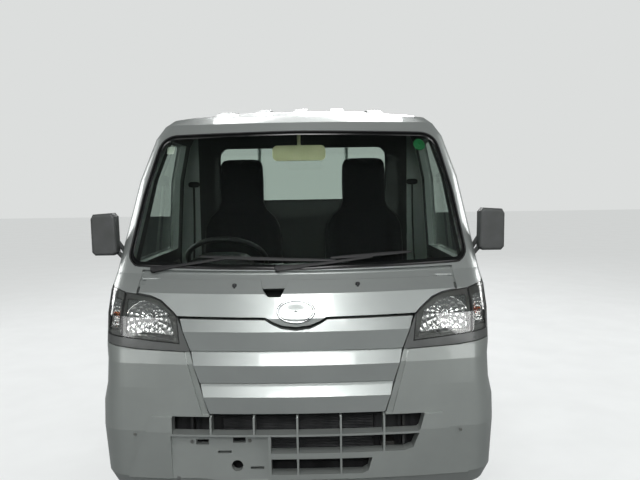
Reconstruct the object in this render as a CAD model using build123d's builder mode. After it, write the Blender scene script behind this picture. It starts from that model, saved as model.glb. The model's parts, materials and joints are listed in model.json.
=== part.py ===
"""Kei truck: a forward-control cab on a ladder frame, with a drop-side cargo bed.

Millimetres. +Z is up, the truck faces -Y, and +X is its left side. The origin is on the ground
under the middle of the truck. A "station" is a distance back from the front of the bumper.
"""

import math
import os

from build123d import *

# Overall sizes
LENGTH = 3395.0
WIDTH = 1475.0
HEIGHT = 1780.0
WHEELBASE = 1900.0
FRONT_OVERHANG = 725.0
TRACK = 1300.0
CAB_LENGTH = 1360.0

# Wheels: 12 inch steel rims with 145 mm tyres
TYRE_RADIUS = 268.0
TYRE_WIDTH = 145.0
RIM_RADIUS = 158.0
RIM_WIDTH = 110.0
HUB_RADIUS = 34.0
ARCH_RADIUS = 326.0
REAR_DRUM_RADIUS = 115.0

# Cab walls and gaps
WALL = 32.0
SKIN = 8.0
PANEL_GAP = 7.0
GLASS = 5.0
SEAT_GAP = 0.3

# Heights
SILL_Z = 330.0
FLOOR_Z = 505.0
FLOOR_THICK = 22.0
BELT_Z = 1010.0
COWL_Z = 1030.0
RAIL_LOW_Z = 400.0
RAIL_HEIGHT = 80.0

# Cargo bed
BED_FLOOR_Z = 660.0
BED_FLOOR_THICK = 24.0
GATE_HEIGHT = 285.0
GATE_THICK = 30.0
BED_INSIDE_LENGTH = 1940.0
BED_INSIDE_WIDTH = WIDTH - 2 * GATE_THICK
CAB_BED_GAP = 35.0

# Sections of the cab's outer skin, cut level: height, station of the front at the middle,
# half width, radius of the front seen from above, radius of its corners
SKIN_SECTIONS = [
    (235.0, 58.0, 714.0, 4000.0, 110.0),
    (300.0, 26.0, 731.0, 4500.0, 110.0),
    (480.0, 12.0, 737.5, 5000.0, 110.0),
    (570.0, 16.0, 737.5, 4500.0, 110.0),
    (636.0, 20.0, 724.0, 4200.0, 105.0),
    (722.0, 24.0, 724.0, 3400.0, 105.0),
    (768.0, 36.0, 733.0, 3200.0, 110.0),
    (885.0, 50.0, 736.0, 2600.0, 110.0),
    (970.0, 78.0, 735.0, 2100.0, 105.0),
    (1030.0, 150.0, 733.0, 1900.0, 90.0),
    (1400.0, 447.0, 708.0, 2080.0, 90.0),
    (1590.0, 600.0, 668.0, 2160.0, 95.0),
    (1650.0, 650.0, 634.0, 2200.0, 100.0),
    (1684.0, 712.0, 606.0, 2000.0, 105.0),
    (1708.0, 850.0, 574.0, 1900.0, 110.0),
    (1730.0, 1000.0, 520.0, 1800.0, 110.0),
    (1748.0, 1110.0, 450.0, 1700.0, 100.0),
    (1766.0, 1200.0, 350.0, 1700.0, 80.0),
]
REAR_CORNER = 40.0
ROOF_RIB_HEIGHT = HEIGHT - SKIN_SECTIONS[-1][0]


def at_station(station):
    """The Y of a distance back from the front of the bumper."""
    return station - LENGTH / 2


FRONT_AXLE_Y = at_station(FRONT_OVERHANG)
REAR_AXLE_Y = at_station(FRONT_OVERHANG + WHEELBASE)
CAB_BACK_Y = at_station(CAB_LENGTH)


def section_at(z):
    """The skin's section sizes at a height, between the two rows of the table around it."""
    for low, high in zip(SKIN_SECTIONS, SKIN_SECTIONS[1:]):
        if low[0] <= z <= high[0]:
            share = (z - low[0]) / (high[0] - low[0])
            return tuple(a + share * (b - a) for a, b in zip(low, high))
    raise ValueError(f"no section at {z}")


def half_width_at(z):
    """Half the cab's outer width at a height."""
    return section_at(z)[2]


def station_at(z, x=0.0):
    """The station of the cab's front skin at a height and a distance from the middle."""
    _, front, _, radius, _ = section_at(z)
    return front + radius - math.sqrt(radius**2 - x**2)


def level_section(row, inset, back_y):
    """One level section: straight back and sides, round corners and a bowed front."""
    z, front, half, bow, corner = row
    half, bow = half - inset, bow - inset
    corner = max(corner - inset, 20.0)
    rear = max(REAR_CORNER - inset, 8.0)
    nose_y = at_station(front + inset)
    centre_y = nose_y + bow
    corner_x = half - corner
    corner_y = centre_y - math.sqrt((bow - corner) ** 2 - corner_x**2)
    touch = Vector(corner_x, corner_y - centre_y).normalized() * bow
    turn = math.atan2(touch.Y, touch.X) / 2
    middle = (corner_x + corner * math.cos(turn), corner_y + corner * math.sin(turn))
    touch_y = centre_y + touch.Y
    with BuildSketch(Plane.XY.offset(z)) as level:
        with BuildLine():
            ThreePointArc((-touch.X, touch_y), (0, nose_y), (touch.X, touch_y))
            ThreePointArc((touch.X, touch_y), middle, (half, corner_y))
            Line((half, corner_y), (half, back_y - rear))
            RadiusArc((half, back_y - rear), (half - rear, back_y), -rear)
            Line((half - rear, back_y), (rear - half, back_y))
            RadiusArc((rear - half, back_y), (-half, back_y - rear), -rear)
            Line((-half, back_y - rear), (-half, corner_y))
            ThreePointArc((-half, corner_y), (-middle[0], middle[1]), (-touch.X, touch_y))
        make_face()
    return level.sketch


def cab_form(inset, low_z, high_z, back_y):
    """The solid inside the cab's skin, moved in by an inset, between two heights."""
    rows = [row for row in SKIN_SECTIONS if low_z < row[0] < high_z]
    rows = [(low_z, *section_at(low_z)[1:]), *rows, (high_z, *section_at(high_z)[1:])]
    with BuildPart() as form:
        loft([level_section(row, inset, back_y) for row in rows], ruled=True)
    return form.part


def block(low, high):
    """A box between two corners."""
    size = [b - a for a, b in zip(low, high)]
    middle = [(a + b) / 2 for a, b in zip(low, high)]
    with BuildPart() as box:
        with Locations(tuple(middle)):
            Box(*size)
    return box.part


def side_prism(points, low_x, high_x, inset=0.0):
    """A prism across X from (station, height) points, with its outline moved in by an inset."""
    with BuildPart() as prism:
        with BuildSketch(Plane.YZ.offset(low_x)):
            with BuildLine():
                Polyline([(at_station(s), z) for s, z in points], close=True)
            make_face()
            if inset:
                offset(amount=-inset, kind=Kind.INTERSECTION)
        extrude(amount=high_x - low_x)
    return prism.part


def front_prism(points, low_y, high_y, inset=0.0):
    """A prism along Y from (x, height) points, with its outline moved in by an inset."""
    with BuildPart() as prism:
        with BuildSketch(Plane.XZ.offset(-high_y)):
            with BuildLine():
                Polyline(points, close=True)
            make_face()
            if inset:
                offset(amount=-inset, kind=Kind.INTERSECTION)
        extrude(amount=high_y - low_y)
    return prism.part


def mirrored(part):
    """The same piece on the other side of the truck."""
    return mirror(part, about=Plane.YZ)


def finish(builder_part, label):
    """Names a finished piece and writes it to its own file."""
    builder_part.label = label
    export_step(builder_part, f"parts/{label}.step")
    return builder_part


os.makedirs("parts", exist_ok=True)

# The cab is one hollow shell, cut into the panels that it is really made of
DOOR_FRONT = 374.0
DOOR_REAR = 1232.0
DOOR_TOP_Z = 1640.0
DOOR_SILL_Z = 404.0
PILLAR_LINE = [(392.0, 1040.0), (838.0, DOOR_TOP_Z)]
NOSE_BACK = 215.0
ROOF_SEAM_X = 585.0
ROOF_SEAM_Z = 1624.0
NOSE_TOP_Z = 962.0
SHELF_Z = 985.0
HOOD_SIDE_X = 600.0
HOOD_ROOM_X = HOOD_SIDE_X + PANEL_GAP
DOOR_OUTLINE = [
    (DOOR_FRONT, 560.0),
    (DOOR_FRONT, BELT_Z),
    *PILLAR_LINE,
    (DOOR_REAR - 8.0, DOOR_TOP_Z),
    (DOOR_REAR, BELT_Z),
    (DOOR_REAR - 6.0, DOOR_SILL_Z + 40.0),
    (DOOR_REAR - 46.0, DOOR_SILL_Z),
    (FRONT_OVERHANG + 250.0, DOOR_SILL_Z),
]
WINDOW_OUTLINE = [
    (472.0, BELT_Z + 30.0),
    (868.0, DOOR_TOP_Z - 52.0),
    (DOOR_REAR - 60.0, DOOR_TOP_Z - 52.0),
    (DOOR_REAR - 56.0, BELT_Z + 30.0),
]
SCREEN_OUTLINE = [
    (-679.0, 1087.0), (-645.0, 1055.0), (0.0, 1046.0), (645.0, 1055.0), (679.0, 1087.0),
    (664.0, 1330.0), (632.0, 1540.0), (618.0, 1575.0), (575.0, 1600.0), (0.0, 1607.0),
    (-575.0, 1600.0), (-618.0, 1575.0), (-632.0, 1540.0), (-664.0, 1330.0),
]
REAR_WINDOW_HALF = 470.0
REAR_WINDOW_Z = (1285.0, 1588.0)
REAR_WINDOW_CORNER = 70.0
FAR = 900.0

# Hinges: a barrel on the moving piece between two barrels on the fixed one, all on the axis
HINGE_RADIUS = 6.0
HINGE_ROOM = 0.8
HINGE_MOVING = 40.0
HINGE_FIXED = 16.0
HINGE_LEAF = 30.0


def hinge_rods(point, direction, spans, radius):
    """Rods along an axis through a point: one for each (start, end) span along it."""
    plane = Plane(origin=point, z_dir=direction)
    with BuildPart() as rods:
        for start, end in spans:
            with BuildSketch(plane.offset(start)):
                Circle(radius)
            extrude(amount=end - start)
    return rods.part


def hinge_set(point, direction, middles):
    """Moving barrels, fixed barrels, and the room that each needs in the other piece."""
    half = HINGE_MOVING / 2
    moving = [(m - half, m + half) for m in middles]
    fixed = [(m - half - SEAT_GAP - HINGE_FIXED, m - half - SEAT_GAP) for m in middles]
    fixed += [(m + half + SEAT_GAP, m + half + SEAT_GAP + HINGE_FIXED) for m in middles]
    wide = HINGE_RADIUS + HINGE_ROOM
    return (
        hinge_rods(point, direction, moving, HINGE_RADIUS),
        hinge_rods(point, direction, fixed, HINGE_RADIUS),
        hinge_rods(point, direction, [(a - SEAT_GAP, b + SEAT_GAP) for a, b in moving], wide),
        hinge_rods(point, direction, [(a - SEAT_GAP, b + SEAT_GAP) for a, b in fixed], wide),
    )


# Doors
DOOR_HINGE_X = 739.0
DOOR_HINGE_Y = at_station(DOOR_FRONT + PANEL_GAP / 2)
DOOR_HINGES_Z = (668.0, 915.0)
LEAF_DEPTH = 18.0
door_moving, door_fixed, door_moving_room, door_fixed_room = hinge_set(
    (DOOR_HINGE_X, DOOR_HINGE_Y, 0), (0, 0, 1), DOOR_HINGES_Z
)


def door_leaves(low_y, high_y, spans):
    """Plates that carry the door's hinge barrels, between two Y values."""
    with BuildPart() as leaves:
        for low_z, high_z in spans:
            add(block((DOOR_HINGE_X - LEAF_DEPTH, low_y, low_z), (DOOR_HINGE_X, high_y, high_z)))
    return leaves.part


half_barrel = HINGE_MOVING / 2
moving_spans = [(z - half_barrel, z + half_barrel) for z in DOOR_HINGES_Z]
fixed_spans = [
    span
    for z in DOOR_HINGES_Z
    for span in (
        (z - half_barrel - SEAT_GAP - HINGE_FIXED, z - half_barrel - SEAT_GAP),
        (z + half_barrel + SEAT_GAP, z + half_barrel + SEAT_GAP + HINGE_FIXED),
    )
]

# Outlines on the nose, as (x, height) seen from the front
LAMP_TOP = [
    (438.0, 889.0), (455.0, 905.0), (470.0, 917.0), (505.0, 943.0),
    (545.0, 957.0), (600.0, 965.0), (648.0, 969.0), (760.0, 998.0),
]
LAMP_BOTTOM = [(760.0, 796.0), (717.0, 786.0), (586.0, 773.0), (388.0, 767.0)]
LENS_BOTTOM = [(760.0, 826.0), (717.0, 816.0), (586.0, 805.0), (426.0, 792.0)]
LAMP_SIDE = [(-50.0, 740.0), (100.0, 765.0), (245.0, 800.0), (292.0, 1000.0), (-50.0, 1000.0)]
LAMP_DEPTH = 60.0
LENS_THICK = 4.0
BEAM_POCKET = [
    (447.0, 812.0), (636.0, 822.0), (640.0, 945.0),
    (560.0, 940.0), (512.0, 925.0), (470.0, 898.0),
]
TURN_POCKET = [(664.0, 832.0), (712.0, 836.0), (712.0, 950.0), (664.0, 942.0)]
PANEL_TOP_Z = 885.0
PANEL_BOTTOM_Z = 543.0
PANEL_TOP_HALF = 432.0
PANEL_BOTTOM_HALF = 319.0
HOOD_TOP_Z = 1018.0
BADGE_DIP = [(-112.0, 886.0), (-88.0, 872.0), (-52.0, 857.0), (0.0, 851.0)]
HOOD_GAP = 7.0
HOOD_OUTLINE = [
    (-HOOD_SIDE_X, 996.0), (-552.0, 1002.0), (-540.0, HOOD_TOP_Z), (-130.0, HOOD_TOP_Z),
    (-119.0, 984.0), (-100.0, 962.0), (-58.0, 962.0), (-28.0, HOOD_TOP_Z), (HOOD_SIDE_X, HOOD_TOP_Z - 6.0),
    *[(x, z) for x, z in reversed(LAMP_TOP[:6])],
    *[(-x, z) for x, z in BADGE_DIP],
    *[(x, z) for x, z in reversed(BADGE_DIP[:3])],
    *[(-x, z) for x, z in LAMP_TOP[:6]],
]


def lamp_prism(inset):
    """Everything seen from the front through a headlamp's outline, back to its side edge."""
    return front_prism(LAMP_TOP + LAMP_BOTTOM, -2000, at_station(400), inset) & side_prism(
        LAMP_SIDE, 0, FAR, inset
    )


CAVITY_TOP_Z = 1740.0
outer_form = cab_form(0.0, 235.0, SKIN_SECTIONS[-1][0], CAB_BACK_Y)
cavity_form = cab_form(WALL, FLOOR_Z, CAVITY_TOP_Z, CAB_BACK_Y - WALL)

# The lower nose in front of the bulkhead is separate panels, so the shell starts behind them
nose_space = block((-FAR, at_station(-50), 0), (FAR, at_station(NOSE_BACK), NOSE_TOP_Z))
nose_space += block(
    (-HOOD_ROOM_X, at_station(-50), 0), (HOOD_ROOM_X, at_station(NOSE_BACK), SHELF_Z)
)
cabin_space = block((-FAR, at_station(NOSE_BACK + WALL), FLOOR_Z - 1), (FAR, FAR, BELT_Z))
upper_space = block((-FAR, at_station(0), BELT_Z), (FAR, FAR, HEIGHT))
cavity = (cavity_form & cabin_space) + (cavity_form & upper_space)
below_sill = block((-FAR, at_station(-50), 0), (FAR, CAB_BACK_Y + 1, SILL_Z))
shell = outer_form - nose_space - cavity - below_sill

FLOOR_HALF = 680.0
ARCH_LIP = 30.0
HANDLE_S = (1090.0, 1196.0)
HANDLE_Z = (906.0, 954.0)
HANDLE_DEPTH = 22.0
HANDLE_BAR_Z = (934.0, 948.0)
DOOR_THICK = 50.0
DOOR_INNER_X = 722.0
INNER_ARCH_GAP = 23.0
WELL_INNER_X = 390.0
WELL_WALL = 8.0
SEAT_BOX_HALF = 640.0
SEAT_BOX_FRONT = 835.0
SEAT_BOX_BACK = 1300.0
SEAT_BOX_Z = 700.0
RIB_WIDTH = 64.0
RIB_PITCH = 190.0
RIB_START_Z = 1700.0
RIB_END = CAB_LENGTH - WALL - 20


def wheel_round(radius, low_x, high_x, axle_y=FRONT_AXLE_Y):
    """A cylinder across X around a wheel's centre."""
    with BuildPart() as drum:
        with BuildSketch(Plane.YZ.offset(low_x)):
            with Locations((axle_y, TYRE_RADIUS)):
                Circle(radius)
        extrude(amount=high_x - low_x)
    return drum.part


def rounded_window(half, low_z, high_z, corner, low_y, high_y):
    """A rounded rectangle in front view, carried along Y."""
    with BuildPart() as window:
        with BuildSketch(Plane.XZ.offset(-high_y)):
            with Locations((0, (low_z + high_z) / 2)):
                RectangleRounded(2 * half, high_z - low_z, corner)
        extrude(amount=high_y - low_y)
    return window.part


arch = wheel_round(ARCH_RADIUS, -FAR, FAR)
door_hole = side_prism(DOOR_OUTLINE, 380, FAR) - wheel_round(ARCH_RADIUS + ARCH_LIP, 0, FAR)
door_room = side_prism(DOOR_OUTLINE, 380, FAR, PANEL_GAP) - wheel_round(
    ARCH_RADIUS + ARCH_LIP + PANEL_GAP, 0, FAR
)
pillar_share = (ROOF_SEAM_Z - PILLAR_LINE[0][1]) / (PILLAR_LINE[1][1] - PILLAR_LINE[0][1])
pillar_seam_s = PILLAR_LINE[0][0] + pillar_share * (PILLAR_LINE[1][0] - PILLAR_LINE[0][0])
front_region = side_prism(
    [
        (-50, 962), (DOOR_FRONT, 962), (DOOR_FRONT, BELT_Z), PILLAR_LINE[0],
        (pillar_seam_s, ROOF_SEAM_Z), (-50, ROOF_SEAM_Z),
    ],
    -FAR,
    FAR,
)
roof_region = block((-ROOF_SEAM_X, -2000, ROOF_SEAM_Z), (ROOF_SEAM_X, CAB_BACK_Y - WALL, HEIGHT + 50))
rear_region = block((-ROOF_SEAM_X, CAB_BACK_Y - WALL, FLOOR_Z), (ROOF_SEAM_X, 0, HEIGHT + 50))
floor_region = block((-FLOOR_HALF, -2000, 0), (FLOOR_HALF, 0, FLOOR_Z)) + block(
    (-FLOOR_HALF, -2000, 0), (FLOOR_HALF, at_station(NOSE_BACK + WALL), 985.0)
)
under_floor = block((-FLOOR_HALF, -2000, 0), (FLOOR_HALF, CAB_BACK_Y + 1, FLOOR_Z - FLOOR_THICK))
shell -= under_floor

lamp_room = lamp_prism(0.0) - cab_form(LAMP_DEPTH + SEAT_GAP, 600.0, 1040.0, CAB_BACK_Y)
lamp_rooms = lamp_room + mirrored(lamp_room)

# The hood's top edge laps over a set-back strip of the frame below the windscreen
HOOD_THICK = 8.0
COWL_SET_BACK = 14.0
COWL_TOP_Z = 1044.0
HOOD_HINGE_Z = 1012.0
HOOD_HINGE_X = 560.0
HOOD_HINGE_DEPTH = 15.5
HOOD_HINGE_Y = at_station(station_at(HOOD_HINGE_Z, HOOD_HINGE_X) + HOOD_HINGE_DEPTH)
hood_moving, hood_fixed, hood_moving_room, hood_fixed_room = hinge_set(
    (0, HOOD_HINGE_Y, HOOD_HINGE_Z), (1, 0, 0), (-HOOD_HINGE_X, HOOD_HINGE_X)
)


def hood_leaves(top_z, half_width, depth):
    """Blocks from the hood's hinge axis forward, for its leaves and for their pockets."""
    with BuildPart() as leaves:
        for middle in (-HOOD_HINGE_X, HOOD_HINGE_X):
            add(
                block(
                    (middle - half_width, HOOD_HINGE_Y - 60, HOOD_HINGE_Z - depth),
                    (middle + half_width, HOOD_HINGE_Y, top_z),
                )
            )
    return leaves.part


hood_area = block((-HOOD_ROOM_X, at_station(0), NOSE_TOP_Z - 1), (HOOD_ROOM_X, 0, COWL_TOP_Z))
cowl_form = cab_form(COWL_SET_BACK, NOSE_TOP_Z - 2, COWL_TOP_Z + 2, CAB_BACK_Y)
with BuildPart() as screen_frame:
    add(shell & front_region)
    add(front_prism(SCREEN_OUTLINE, -2000, at_station(1000)), mode=Mode.SUBTRACT)
    add(hood_area - cowl_form, mode=Mode.SUBTRACT)
    add(lamp_rooms, mode=Mode.SUBTRACT)
    add(hood_moving_room, mode=Mode.SUBTRACT)
    add(
        hood_leaves(HOOD_HINGE_Z + 10, HINGE_MOVING / 2 + SEAT_GAP, 26.0),
        mode=Mode.SUBTRACT,
    )
    add(hood_fixed)
finish(screen_frame.part, "screen_frame")

with BuildPart() as windscreen:
    add(cab_form(4.0, 1031.0, 1639.0, CAB_BACK_Y))
    add(cab_form(4.0 + GLASS, 1031.0, 1639.0, CAB_BACK_Y), mode=Mode.SUBTRACT)
    add(
        front_prism(SCREEN_OUTLINE, -2000, at_station(1000), SEAT_GAP),
        mode=Mode.INTERSECT,
    )
finish(windscreen.part, "windscreen")



def roof_rib(x):
    """A straight rib along the roof: its top follows the roof's rise at its own distance out."""
    edge = abs(x) + RIB_WIDTH / 2
    line = [(station_at(z, x), z) for z, _, half, _, _ in SKIN_SECTIONS if z > RIB_START_Z and half > edge]
    if line[-1][1] < SKIN_SECTIONS[-1][0]:
        line.append((RIB_END - 20, SKIN_SECTIONS[-1][0] - 6))
    line.append((RIB_END, line[-1][1]))
    top = [(s, z + ROOF_RIB_HEIGHT) for s, z in line[1:]]
    bottom = [(s, z - 9) for s, z in reversed(line)]
    outline = [(line[0][0], line[0][1] + 1), *top, *bottom]
    return side_prism(outline, x - RIB_WIDTH / 2, x + RIB_WIDTH / 2) - cavity_form


with BuildPart() as roof_panel:
    add((shell - front_region) & roof_region)
    for i in (-2, -1, 0, 1, 2):
        add(roof_rib(i * RIB_PITCH))
finish(roof_panel.part, "roof_panel")

with BuildPart() as rear_wall:
    add(shell & rear_region)
    add(
        rounded_window(
            REAR_WINDOW_HALF, *REAR_WINDOW_Z, REAR_WINDOW_CORNER, CAB_BACK_Y - 100, CAB_BACK_Y + 1
        ),
        mode=Mode.SUBTRACT,
    )
finish(rear_wall.part, "cab_rear_wall")

with BuildPart() as rear_window:
    add(
        rounded_window(
            REAR_WINDOW_HALF - SEAT_GAP,
            REAR_WINDOW_Z[0] + SEAT_GAP,
            REAR_WINDOW_Z[1] - SEAT_GAP,
            REAR_WINDOW_CORNER - SEAT_GAP,
            CAB_BACK_Y - WALL / 2 - GLASS / 2,
            CAB_BACK_Y - WALL / 2 + GLASS / 2,
        )
    )
finish(rear_window.part, "rear_window")

side_space = block((0, -2000, 0), (FAR, 0, HEIGHT + 50))
with BuildPart() as cab_side:
    add(shell - front_region - roof_region - rear_region - floor_region - arch - door_hole)
    add(side_space, mode=Mode.INTERSECT)
    add(lamp_room, mode=Mode.SUBTRACT)
    add(door_leaves(DOOR_HINGE_Y - HINGE_LEAF, DOOR_HINGE_Y, fixed_spans))
    add(door_moving_room, mode=Mode.SUBTRACT)
    add(door_fixed)
finish(cab_side.part, "cab_side_left")
finish(mirrored(cab_side.part), "cab_side_right")

door_wall = outer_form - cab_form(DOOR_THICK, 235.0, 1700.0, CAB_BACK_Y)
with BuildPart() as door:
    add(door_wall & door_room)
    add(side_prism(WINDOW_OUTLINE, 380, FAR), mode=Mode.SUBTRACT)
    add(wheel_round(ARCH_RADIUS + ARCH_LIP + INNER_ARCH_GAP, 0, DOOR_INNER_X), mode=Mode.SUBTRACT)
    handle_low, handle_high = at_station(HANDLE_S[0]), at_station(HANDLE_S[1])
    recess_x = half_width_at(HANDLE_Z[0]) - HANDLE_DEPTH
    add(block((recess_x, handle_low, HANDLE_Z[0]), (FAR, handle_high, HANDLE_Z[1])), mode=Mode.SUBTRACT)
    bar_x = half_width_at(HANDLE_Z[0])
    add(block((bar_x - 12, handle_low - 1, HANDLE_BAR_Z[0]), (bar_x, handle_high + 1, HANDLE_BAR_Z[1])))
    add(door_leaves(DOOR_HINGE_Y, DOOR_HINGE_Y + HINGE_LEAF, moving_spans))
    add(door_fixed_room, mode=Mode.SUBTRACT)
    add(door_moving)
finish(door.part, "door_left")
finish(mirrored(door.part), "door_right")

with BuildPart() as door_glass:
    add(cab_form(14.0, 1000.0, 1690.0, CAB_BACK_Y))
    add(cab_form(14.0 + GLASS, 1000.0, 1690.0, CAB_BACK_Y), mode=Mode.SUBTRACT)
    add(side_prism(WINDOW_OUTLINE, 380, FAR, SEAT_GAP), mode=Mode.INTERSECT)
finish(door_glass.part, "door_glass_left")
finish(mirrored(door_glass.part), "door_glass_right")

# The nose: bumper, ribbed front panel, hood and headlamps share one skin
lens_back_form = cab_form(LENS_THICK + SEAT_GAP, 700.0, 1040.0, CAB_BACK_Y)
beam_form = outer_form - cab_form(LAMP_DEPTH - 12, 700.0, 1040.0, CAB_BACK_Y)
lens_prism = front_prism(LAMP_TOP + LENS_BOTTOM, -2000, at_station(400))
with BuildPart() as lamp:
    add(outer_form - cab_form(LAMP_DEPTH, 700.0, 1040.0, CAB_BACK_Y))
    add(lamp_prism(SEAT_GAP), mode=Mode.INTERSECT)
    add((outer_form - lens_back_form) & lens_prism, mode=Mode.SUBTRACT)
    for pocket in (BEAM_POCKET, TURN_POCKET):
        add(beam_form & front_prism(pocket, -2000, at_station(400)), mode=Mode.SUBTRACT)
with BuildPart() as headlamps:
    add(lamp.part)
    add(mirrored(lamp.part))
finish(headlamps.part, "headlamps")

with BuildPart() as lens:
    add(outer_form - cab_form(LENS_THICK, 700.0, 1040.0, CAB_BACK_Y))
    add(lamp_prism(SEAT_GAP), mode=Mode.INTERSECT)
    add(
        front_prism(LAMP_TOP + LENS_BOTTOM, -2000, at_station(400), SEAT_GAP),
        mode=Mode.INTERSECT,
    )
with BuildPart() as lamp_lenses:
    add(lens.part)
    add(mirrored(lens.part))
finish(lamp_lenses.part, "lamp_lenses")

with BuildPart() as hood:
    add(outer_form - cab_form(HOOD_THICK, 700.0, 1100.0, CAB_BACK_Y))
    add(
        front_prism(HOOD_OUTLINE, -2000, at_station(NOSE_BACK), HOOD_GAP / 2),
        mode=Mode.INTERSECT,
    )
    add(hood_leaves(HOOD_HINGE_Z, HINGE_MOVING / 2, 20.0) & outer_form)
    add(hood_fixed_room, mode=Mode.SUBTRACT)
    add(hood_moving)
finish(hood.part, "hood")

# Front panel: three ribs, each with a facet that looks up, a crest and a facet that looks down
PANEL_THICK = 38.0
RIB_PROFILE = [
    (531.0, 6.0), (542.0, 6.0), (546.0, -1.0), (610.0, -13.0), (644.0, 4.0), (653.0, 6.0),
    (658.0, -1.0), (723.0, -13.0), (760.0, 4.0), (766.0, 6.0), (771.0, -1.0), (840.0, -13.0),
    (879.0, 4.0), (886.0, 5.0),
]
PANEL_OUTLINE = [
    (-PANEL_BOTTOM_HALF, PANEL_BOTTOM_Z), (PANEL_BOTTOM_HALF, PANEL_BOTTOM_Z),
    LAMP_BOTTOM[-1], (PANEL_TOP_HALF, PANEL_TOP_Z), *[(-x, z - 4) for x, z in BADGE_DIP],
    *[(x, z - 4) for x, z in reversed(BADGE_DIP[:3])], (-PANEL_TOP_HALF, PANEL_TOP_Z),
    (-LAMP_BOTTOM[-1][0], LAMP_BOTTOM[-1][1]),
]
with BuildPart() as front_panel:
    loft(
        [level_section((z, *section_at(z)[1:]), inset, CAB_BACK_Y) for z, inset in RIB_PROFILE],
        ruled=True,
    )
    add(cab_form(PANEL_THICK, 500.0, 900.0, CAB_BACK_Y), mode=Mode.SUBTRACT)
    add(
        front_prism(PANEL_OUTLINE, -2000, at_station(NOSE_BACK), HOOD_GAP / 2),
        mode=Mode.INTERSECT,
    )
finish(front_panel.part, "front_panel")

# Bumper: one skin from wheel arch to wheel arch, its middle raised, with three rows of openings
BUMPER_THICK = 38.0
BUMPER_RAISE = 12.0
BUMPER_OUTLINE = [
    (-FAR, 235.0), (FAR, 235.0), (FAR, LAMP_BOTTOM[0][1] + 20), *LAMP_BOTTOM,
    (PANEL_BOTTOM_HALF, PANEL_BOTTOM_Z), (-PANEL_BOTTOM_HALF, PANEL_BOTTOM_Z),
    *[(-x, z) for x, z in reversed(LAMP_BOTTOM)], (-FAR, LAMP_BOTTOM[0][1] + 20),
]
RAISED_OUTLINE = [(-628.0, 300.0), (628.0, 300.0), (528.0, 535.0), (-528.0, 535.0)]
RABBET_OUTLINE = [(312.0, 538.0), (344.0, 538.0), (411.0, 775.0), (380.0, 775.0)]
RABBET_DEPTH = 10.0
BAR_WIDTH = 7.0
BAR_PITCH = 156.0
OPENINGS = [
    [
        (-454.0, 474.0), (436.0, 474.0), (444.0, 482.0), (460.0, 535.0), (318.0, 535.0),
        (318.0, 549.0), (-318.0, 549.0), (-318.0, 535.0), (-454.0, 535.0),
    ],
    [(-96.0, 402.0), (388.0, 402.0), (418.0, 412.0), (440.0, 466.0), (-96.0, 466.0)],
    [(-96.0, 320.0), (236.0, 320.0), (255.0, 330.0), (269.0, 380.0), (-96.0, 380.0)],
]
PLATE_SEAT = [(-460.0, 288.0), (-107.0, 288.0), (-107.0, 466.0), (-460.0, 466.0)]
PLATE_BOLT_PITCH = 210.0
PLATE_BOLT_X = -281.0
PLATE_BOLT_Z = 438.0
PLATE_BOLT_R = 3.5
PLATE_BOLT_ROOM = 12.0
TOW_X = -223.0
TOW_Z = 344.0
TOW_R = 21.0
SLOTS = [
    (-348.0, 436.0, 46.0, 20.0), (-214.0, 441.0, 46.0, 20.0), (-268.0, 397.0, 50.0, 10.0),
    (-150.0, 335.0, 50.0, 10.0),
]
plate_y = at_station(station_at(420.0, 455.0)) + 2.0
with BuildPart() as bumper:
    add(outer_form - cab_form(BUMPER_THICK, 236.0, 850.0, CAB_BACK_Y))
    add(
        (cab_form(-BUMPER_RAISE, 280.0, 600.0, CAB_BACK_Y) - cab_form(4.0, 270.0, 610.0, CAB_BACK_Y))
        & front_prism(RAISED_OUTLINE, -2000, at_station(300))
    )
    add(
        front_prism(BUMPER_OUTLINE, -2000, at_station(NOSE_BACK), HOOD_GAP / 2),
        mode=Mode.INTERSECT,
    )
    rabbet_form = outer_form - cab_form(RABBET_DEPTH, 500.0, 800.0, CAB_BACK_Y)
    rabbet = rabbet_form & front_prism(RABBET_OUTLINE, -2000, at_station(NOSE_BACK))
    add(rabbet, mode=Mode.SUBTRACT)
    add(mirrored(rabbet), mode=Mode.SUBTRACT)
    add(front_prism(PLATE_SEAT, at_station(-50), plate_y), mode=Mode.SUBTRACT)
    for row in OPENINGS:
        opening = front_prism(row, -2000, at_station(NOSE_BACK))
        for i in range(-4, 5):
            x = i * BAR_PITCH
            bar = block((x - BAR_WIDTH / 2, -2000, 300), (x + BAR_WIDTH / 2, 0, 600))
            opening -= bar
        add(opening, mode=Mode.SUBTRACT)
    with BuildSketch(Plane.XZ.offset(-plate_y - 60)):
        with Locations((PLATE_BOLT_X - PLATE_BOLT_PITCH / 2, PLATE_BOLT_Z)):
            Circle(PLATE_BOLT_R)
        with Locations((PLATE_BOLT_X + PLATE_BOLT_PITCH / 2, PLATE_BOLT_Z)):
            Circle(PLATE_BOLT_R)
        with Locations((TOW_X, TOW_Z)):
            Circle(TOW_R)
        for x, z, wide, high in SLOTS:
            with Locations((x, z)):
                Rectangle(wide, high)
    extrude(amount=120, mode=Mode.SUBTRACT)
finish(bumper.part, "front_bumper")

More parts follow.
